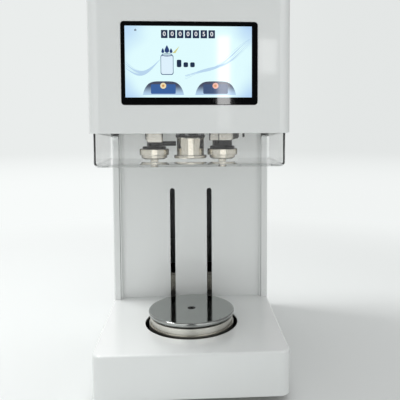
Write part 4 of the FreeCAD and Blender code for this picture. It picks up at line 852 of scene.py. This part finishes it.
class SEAMER_OT_screen(bpy.types.Operator):
    """Build the lit screen: field, waves, counter, can sign, tabs and buttons"""

    bl_idname = "seamer.screen"
    bl_label = "Screen"

    def execute(self, context):
        sizes = context.scene.seamer_sizes
        colours = colours_of(context)
        low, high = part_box("display_glass")
        left = low.x + sizes.screen_left
        right = high.x - sizes.screen_right
        foot = low.z + sizes.screen_foot
        top = high.z - sizes.screen_top
        face = low.y
        width, height = right - left, top - foot

        def spot(across, down):
            """A point of the screen from its upper left corner, in shares of its width and height."""
            return left + across * width, top - down * height

        corner = (Vector((left, face, foot)), Vector((right, face, top)))
        field = flat_patch([round_box(left, foot, width, height, 0.3 * MM)], face - SKIN)
        piece("screen_field", field, "machine", screen_field(colours, *corner))

        waves = []
        for index in range(5):
            line, widths = [], []
            for step in range(41):
                t = step / 40
                x, z = spot(0.47 + 0.52 * t, 0.74 - 0.52 * t ** 1.3 - 0.05 * math.sin(6.2 * t + 0.5 * index))
                line.append((x, z + (index - 2) * 1.6 * MM * math.sin(3.1 * t)))
                widths.append(0.4 * MM + 2.6 * MM * math.sin(math.pi * t) ** 2 * (index % 2))
            waves += ribbon(line, widths)
        for index in range(4):
            line, widths = [], []
            for step in range(31):
                t = step / 30
                x, z = spot(0.005 + 0.27 * t, 0.5 + 0.13 * math.sin(3.4 * t) + 0.03 * index * (1 - t))
                line.append((x, z))
                widths.append(0.4 * MM + 2.4 * MM * math.sin(math.pi * t) * (index % 2))
            waves += ribbon(line, widths)
        piece(
            "screen_waves", flat_patch(waves, face - 2 * SKIN), "machine",
            lit("lit_wave", colours.wave, 0.9),
        )
        self.build_counter(sizes, colours, spot, face)
        self.build_can(colours, spot, face)
        self.build_tabs(colours, spot, face)
        return {"FINISHED"}

    def build_counter(self, sizes, colours, spot, face):
        """Counter tiles by geometry nodes, and a digit on each."""
        tree = new_tree("CounterTiles", [
            ("Count", "NodeSocketInt", 7), ("Pitch", "NodeSocketFloat", 0.01),
            ("Width", "NodeSocketFloat", 0.008), ("Height", "NodeSocketFloat", 0.01),
            ("Radius", "NodeSocketFloat", 0.0004), ("Start", "NodeSocketVector", None),
            ("Material", "NodeSocketMaterial", None),
        ])
        source = add(tree, "NodeGroupInput")
        outline = add(
            tree, "GeometryNodeCurvePrimitiveQuadrilateral",
            links={"Width": source.outputs["Width"], "Height": source.outputs["Height"]},
        )
        rounder = add(
            tree, "GeometryNodeFilletCurve", inputs={"Count": 4},
            links={"Curve": outline.outputs[0], "Radius": source.outputs["Radius"]}, mode="POLY",
        )
        tile = add(tree, "GeometryNodeFillCurve", links={"Curve": rounder.outputs[0]})
        upright = add(
            tree, "GeometryNodeTransform", inputs={"Rotation": (math.pi / 2, 0, 0)},
            links={"Geometry": tile.outputs[0]},
        )
        step = add(tree, "ShaderNodeCombineXYZ", links={0: source.outputs["Pitch"]})
        line = add(
            tree, "GeometryNodeMeshLine",
            links={"Count": source.outputs["Count"], "Start Location": source.outputs["Start"],
                   "Offset": step.outputs[0]},
        )
        copies = add(
            tree, "GeometryNodeInstanceOnPoints",
            links={"Points": line.outputs[0], "Instance": upright.outputs[0]},
        )
        real = add(tree, "GeometryNodeRealizeInstances", links={0: copies.outputs[0]})
        coated = add(
            tree, "GeometryNodeSetMaterial",
            links={"Geometry": real.outputs[0], "Material": source.outputs["Material"]},
        )
        add(tree, "NodeGroupOutput", links={0: coated.outputs[0]})
        navy = lit("lit_navy", colours.navy, 0.9)
        x, z = spot(0.309, 0.113)
        first = (x, face - 3 * SKIN, z)
        mesh = run_tree(tree, "screen_tiles", {
            "Count": sizes.tile_count, "Pitch": sizes.tile_pitch, "Width": sizes.tile_width,
            "Height": sizes.tile_height, "Start": first, "Material": navy,
        })
        piece("screen_tiles", mesh, "machine")
        white = lit("lit_white", linear("#F4F7FA"), 0.95)
        for index, sign in enumerate(sizes.count_text[:sizes.tile_count]):
            text = bpy.data.curves.new("digit", "FONT")
            text.body = sign
            text.size = 0.75 * sizes.tile_height
            text.align_x = "CENTER"
            text.align_y = "CENTER"
            text.offset = 0.12 * MM
            holder = bpy.data.objects.new("digit_maker", text)
            bpy.context.scene.collection.objects.link(holder)
            bpy.context.view_layer.update()
            mesh = bpy.data.meshes.new_from_object(holder.evaluated_get(bpy.context.evaluated_depsgraph_get()))
            bpy.data.objects.remove(holder)
            middle = Vector((x + index * sizes.tile_pitch, face - 4 * SKIN, z))
            mesh.transform(Matrix.Translation(middle) @ Matrix.Rotation(math.pi / 2, 4, "X"))
            piece("screen_digit_{}".format(index + 1), mesh, "machine", white)

    def build_can(self, colours, spot, face):
        """Plain sign of an open can, with drops above it, and a level gauge beside it."""
        x, foot = spot(0.278, 0.683)
        x_far, top = spot(0.379, 0.4)
        wide = x_far - x
        tall = top - foot
        body = round_box(x, foot, wide, tall, 2.6 * MM)
        fill = lit("lit_can", linear("#DDF0FC"), 1.0)
        piece("screen_can", flat_patch([body], face - 3 * SKIN), "machine", fill)
        navy = lit("lit_outline", linear("#3B5480"), 0.9)
        lines = frame_line(body, 1.0 * MM)
        middle = x + wide / 2
        lid = [(middle + (px - middle) * 0.82, foot + tall * 0.99 + (pz - foot - tall * 0.99) * 0.26)
               for px, pz in disc(middle, foot + tall * 0.99, wide / 2)]
        lines += frame_line(lid, 0.8 * MM)
        piece("screen_can_outline", flat_patch(lines, face - 4 * SKIN), "machine", navy)
        drops = []
        for dx, dz, size in ((-0.32, 0.24, 1.8), (0.0, 0.32, 2.8), (0.32, 0.24, 1.8)):
            cx, cz = middle + dx * wide, top + dz * wide
            drop = disc(cx, cz, size * MM)
            drop = [(px, pz + max(0, pz - cz) * 1.3 * (1 - abs(px - cx) / (size * MM))) for px, pz in drop]
            drops.append(drop)
        piece("screen_drops", flat_patch(drops, face - 3 * SKIN), "machine",
              lit("lit_drop", linear("#2B4377"), 0.9))
        ray = [(middle + 0.42 * wide, top + 0.12 * wide), (middle + 0.98 * wide, top + 0.66 * wide),
               (middle + 0.66 * wide, top + 0.12 * wide)]
        piece("screen_ray", flat_patch([ray], face - 3 * SKIN), "machine",
              lit("lit_ray", linear("#DCD98F"), 0.9))
        bars = []
        gauge_x, gauge_z = spot(0.405, 0.575)
        for index, share in enumerate((1.0, 0.66, 0.66)):
            bars.append(round_box(gauge_x + index * 8.1 * MM, gauge_z, 5.6 * MM, 9.0 * MM * share, 1.6 * MM))
        piece("screen_gauge", flat_patch(bars, face - 3 * SKIN), "machine",
              lit("lit_gauge", colours.navy, 0.9))
        home_x, home_z = spot(0.075, 0.072)
        home = [(home_x, home_z), (home_x + 2.6 * MM, home_z), (home_x + 2.6 * MM, home_z + 1.6 * MM),
                (home_x + 1.3 * MM, home_z + 2.8 * MM), (home_x, home_z + 1.6 * MM)]
        piece("screen_home", flat_patch([home], face - 3 * SKIN), "machine",
              lit("lit_home", linear("#7C8C9C"), 0.9))

    def build_tabs(self, colours, spot, face):
        """Two arched tabs at the screen's foot, each with a button and a round icon."""
        for side, across, button, icon in (
            ("left", 0.136, colours.button, colours.cream), ("right", 0.549, colours.button_dim, colours.pink),
        ):
            x0, foot = spot(across, 0.965)
            x1, top = spot(across + 0.325, 0.773)
            outline = []
            for step in range(33):
                t = step / 32
                outline.append((x0 + (x1 - x0) * t, foot + (top - foot) * (1 - abs(2 * t - 1) ** 4.5) ** 0.8))
            outline[0], outline[-1] = (x0, foot - SKIN), (x1, foot - SKIN)
            arch = flat_patch([list(reversed(outline))], face - 3 * SKIN)
            fade = lit("lit_tab_" + side, linear("#B9D9F5"), 0.9, colours.tab_top, (foot, foot + 0.75 * (top - foot)))
            piece("screen_tab_" + side, arch, "machine", fade)
            bx, bz = spot(across + 0.064, 0.95)
            wide = 0.6 * (x1 - x0)
            tall = 0.7 * (top - foot)
            plate = round_box(bx, bz, wide, tall, 1.4 * MM)
            piece("screen_button_" + side, flat_patch([plate], face - 4 * SKIN), "machine",
                  lit("lit_button_" + side, button, 0.9))
            cx, cz = spot(across + 0.161, 0.836)
            ball = disc(cx, cz, 3.6 * MM)
            piece("screen_icon_" + side, flat_patch([ball], face - 5 * SKIN), "machine",
                  lit("lit_icon_" + side, icon, 0.95))
            mark = disc(cx, cz, 1.7 * MM, 6)
            piece("screen_mark_" + side, flat_patch([mark], face - 6 * SKIN), "machine",
                  lit("lit_mark_" + side, linear("#D79A62"), 0.9))


SCREEN = ("display_glass", "screen_")
FRONT = ("head_front_cover",)
# soft boxes that gloss sees: degrees from the front, to the right, and how bright; the front is dark
BOXES = (
    (-178, 0.8), (-100, 0.35), (-70, 0.6), (-50, 1.0), (-17, 1.0), (-10, 0.03), (10, 0.03), (17, 0.85),
    (50, 0.85), (75, 0.25), (110, 0.2), (178, 0.5),
)


def backdrop_painted_side_shade(tree, course, stage, far):
    """Backdrop colour along a direction: dimmer far away, and darkened to the right by painted shade."""
    across = add(tree, "ShaderNodeSeparateXYZ", links={0: course}).outputs["X"]
    # painted shade: the colour falls to 0.94 of itself towards the right
    share = add(
        tree, "ShaderNodeMapRange", inputs={"From Min": -0.05, "From Max": 0.3, "To Min": 1.0, "To Max": 0.94},
        links={"Value": across}, interpolation_type="SMOOTHSTEP",
    ).outputs[0]
    depth = add(
        tree, "ShaderNodeMix", data_type="RGBA", inputs={6: (*stage.floor, 1), 7: (*stage.backdrop, 1)},
        links={0: far},
    ).outputs[2]
    return add(tree, "ShaderNodeVectorMath", operation="SCALE", links={0: depth, "Scale": share}).outputs[0]


class SEAMER_OT_stage(bpy.types.Operator):
    """Set the camera, the pale floor and backdrop, and the studio lamps"""

    bl_idname = "seamer.stage"
    bl_label = "Stage"

    def execute(self, context):
        stage = context.scene.seamer_stage
        self.set_camera(context, stage)
        self.set_floor(stage)
        self.set_world(context, stage)
        # name, place, aim, size across and up, radiance, whether gloss shows it, and what it lights
        lamps = (
            ("key_softbox", (-0.78, 0.3, 1.9), (0, 0, 0.1), 0.6, 0.6, 19.0, True, ()),
            ("front_softbox", (0.1, -2.1, 0.3), (0, 0, 0.22), 1.6, 0.7, 0.9, False, ()),
            ("top_softbox", (0.0, -0.3, 2.2), (0, 0, 0.0), 1.6, 1.6, 0.8, True, ()),
            ("throat_fill", (0.0, -0.5, 0.06), (0, 0.03, 0.12), 0.3, 0.1, 1.6, False, ("column_front_panel",)),
            ("glass_strip", (0.132, -1.6, 0.512), (0.132, 0, 0.512), 0.05, 0.365, 8.0, True, SCREEN),
            ("paint_strip", (0.132, -1.6, 0.512), (0.132, 0, 0.512), 0.05, 0.365, 1.6, True, FRONT),
            ("paint_window", (0.305, -1.6, 0.617), (0.305, 0, 0.617), 0.07, 0.134, 4.0, True, FRONT),
        )
        for name, where, aim, wide, tall, radiance, shown, lights in lamps:
            data = bpy.data.lights.new(name, "AREA")
            data.shape = "RECTANGLE"
            data.size = wide
            data.size_y = tall
            data.energy = radiance * math.pi * wide * tall
            lamp = bpy.data.objects.new(name, data)
            lamp.location = where
            lamp.rotation_euler = (Vector(aim) - Vector(where)).to_track_quat("-Z", "Y").to_euler()
            lamp.visible_glossy = shown
            context.scene.collection.objects.link(lamp)
            if lights:
                lamp.light_linking.receiver_collection = self.receivers(name, lights)
        context.scene.view_settings.view_transform = "Standard"
        return {"FINISHED"}

    def receivers(self, name, starts):
        """A collection of the pieces whose names start so, which one lamp lights alone."""
        group = bpy.data.collections.new(name + "_lights")
        for thing in bpy.context.scene.objects:
            if thing.type == "MESH" and thing.name.startswith(starts):
                group.objects.link(thing)
        return group

    def set_camera(self, context, stage):
        data = bpy.data.cameras.new("Camera")
        data.lens = stage.lens
        data.sensor_width = 36
        data.shift_x = -0.0536
        data.shift_y = -0.1083
        data.clip_start = 0.01
        camera = bpy.data.objects.new("Camera", data)
        yaw, pitch, roll = (math.radians(v) for v in (stage.yaw, stage.pitch, stage.roll))
        ahead = Vector((math.sin(yaw) * math.cos(pitch), math.cos(yaw) * math.cos(pitch), -math.sin(pitch)))
        right = Vector((math.cos(yaw), -math.sin(yaw), 0))
        above = right.cross(ahead)
        side = math.cos(roll) * right + math.sin(roll) * above
        up = -math.sin(roll) * right + math.cos(roll) * above
        turn = Matrix((side, up, -ahead)).transposed().to_4x4()
        camera.matrix_world = Matrix.Translation(stage.eye) @ turn
        context.scene.collection.objects.link(camera)
        context.scene.camera = camera

    def set_floor(self, stage):
        mesh = bpy.data.meshes.new("floor")
        shape = bmesh.new()
        bmesh.ops.create_grid(shape, x_segments=8, y_segments=8, size=6)
        shape.to_mesh(mesh)
        shape.free()
        floor = bpy.data.objects.new("floor", mesh)
        bpy.context.scene.collection.objects.link(floor)
        made, tree, shader = finish("pale_floor", stage.matt, 0.6, Specular_IOR_Level=0.2)
        where = place_of(tree)
        away = add(tree, "ShaderNodeVectorMath", operation="LENGTH", links={0: where}).outputs["Value"]
        course = add(tree, "ShaderNodeVectorMath", operation="NORMALIZE", links={0: where}).outputs[0]
        near = add(
            tree, "ShaderNodeMapRange", inputs={"From Min": 2.0, "From Max": 6.0}, links={"Value": away},
            interpolation_type="SMOOTHSTEP",
        ).outputs[0]
        glow = add(
            tree, "ShaderNodeEmission", inputs={"Strength": 1.0},
            links={"Color": backdrop_painted_side_shade(tree, course, stage, near)},
        )
        path = add(tree, "ShaderNodeLightPath")
        seen = add(
            tree, "ShaderNodeMath", operation="MAXIMUM",
            links={0: path.outputs["Is Camera Ray"], 1: path.outputs["Is Transmission Ray"]},
        )
        shown = add(
            tree, "ShaderNodeMath", operation="MAXIMUM",
            links={0: seen.outputs[0], 1: path.outputs["Is Glossy Ray"]},
        )
        edge = add(
            tree, "ShaderNodeMapRange", inputs={"From Min": 0.5, "From Max": 1.2, "To Min": 0.04},
            links={"Value": away}, interpolation_type="SMOOTHSTEP",
        ).outputs[0]
        share = add(tree, "ShaderNodeMath", operation="MULTIPLY", links={0: shown.outputs[0], 1: edge})
        mixed = add(
            tree, "ShaderNodeMixShader",
            links={0: share.outputs[0], 1: shader.outputs[0], 2: glow.outputs[0]},
        )
        tree.links.new(mixed.outputs[0], tree.nodes["Material Output"].inputs["Surface"])
        mesh.materials.append(made)

    def set_world(self, context, stage):
        """Backdrop for the camera, soft boxes round the front for gloss, and even light for the rest."""
        world = bpy.data.worlds.new("studio")
        context.scene.world = world
        world.use_nodes = True
        tree = world.node_tree
        tree.nodes.clear()
        path = add(tree, "ShaderNodeLightPath")
        course = add(tree, "ShaderNodeTexCoord").outputs["Generated"]
        plain = add(tree, "ShaderNodeValue")
        plain.outputs[0].default_value = 1.0
        backdrop = add(
            tree, "ShaderNodeBackground", inputs={"Strength": 1.0},
            links={"Color": backdrop_painted_side_shade(tree, course, stage, plain.outputs[0])},
        )
        even = add(tree, "ShaderNodeBackground", inputs={"Color": (1, 1, 1, 1), "Strength": stage.even_light})
        # the radial gradient runs from 0 at the left rear over the front at a half to 1 at the right rear
        turned = add(
            tree, "ShaderNodeMapping", inputs={"Rotation": (0, 0, math.pi / 2)}, links={"Vector": course}
        )
        round_about = add(
            tree, "ShaderNodeTexGradient", gradient_type="RADIAL", links={"Vector": turned.outputs[0]}
        )
        boxes = ramp(tree, round_about.outputs["Fac"], [
            (0.5 + degrees / 360, (level, level, level, 1)) for degrees, level in BOXES
        ])
        gloss = add(tree, "ShaderNodeBackground", inputs={"Strength": 1.3}, links={"Color": boxes})
        seen = add(
            tree, "ShaderNodeMath", operation="MAXIMUM",
            links={0: path.outputs["Is Camera Ray"], 1: path.outputs["Is Transmission Ray"]},
        )
        lighted = add(
            tree, "ShaderNodeMixShader",
            links={0: path.outputs["Is Glossy Ray"], 1: even.outputs[0], 2: gloss.outputs[0]},
        )
        mixed = add(
            tree, "ShaderNodeMixShader",
            links={0: seen.outputs[0], 1: lighted.outputs[0], 2: backdrop.outputs[0]},
        )
        add(tree, "ShaderNodeOutputWorld", links={0: mixed.outputs[0]})


class SEAMER_PT_panel(bpy.types.Panel):
    """Buttons and settings of the can seamer's looks"""

    bl_idname = "SEAMER_PT_panel"
    bl_label = "Can Seamer"
    bl_space_type = "VIEW_3D"
    bl_region_type = "UI"
    bl_category = "Can Seamer"

    def draw(self, context):
        for operator in OPERATORS:
            self.layout.operator(operator.bl_idname)
        for group in (context.scene.seamer_colours, context.scene.seamer_sizes, context.scene.seamer_stage):
            box = self.layout.box()
            for name in group.__annotations__:
                box.prop(group, name)


OPERATORS = (
    SEAMER_OT_covers, SEAMER_OT_metal, SEAMER_OT_guard, SEAMER_OT_fasteners, SEAMER_OT_screen, SEAMER_OT_stage,
)
CLASSES = (SeamerColours, SeamerSizes, SeamerStage, *OPERATORS, SEAMER_PT_panel)


def register():
    """Add the classes and the scene's settings."""
    for item in CLASSES:
        bpy.utils.register_class(item)
    bpy.types.Scene.seamer_colours = PointerProperty(type=SeamerColours)
    bpy.types.Scene.seamer_sizes = PointerProperty(type=SeamerSizes)
    bpy.types.Scene.seamer_stage = PointerProperty(type=SeamerStage)


def unregister():
    """Take the classes and settings away."""
    del bpy.types.Scene.seamer_colours
    del bpy.types.Scene.seamer_sizes
    del bpy.types.Scene.seamer_stage
    for item in reversed(CLASSES):
        bpy.utils.unregister_class(item)


def main():
    register()
    bpy.ops.seamer.covers()
    bpy.ops.seamer.metal()
    bpy.ops.seamer.guard()
    bpy.ops.seamer.fasteners()
    bpy.ops.seamer.screen()
    bpy.ops.seamer.stage()


if __name__ == "__main__":
    main()
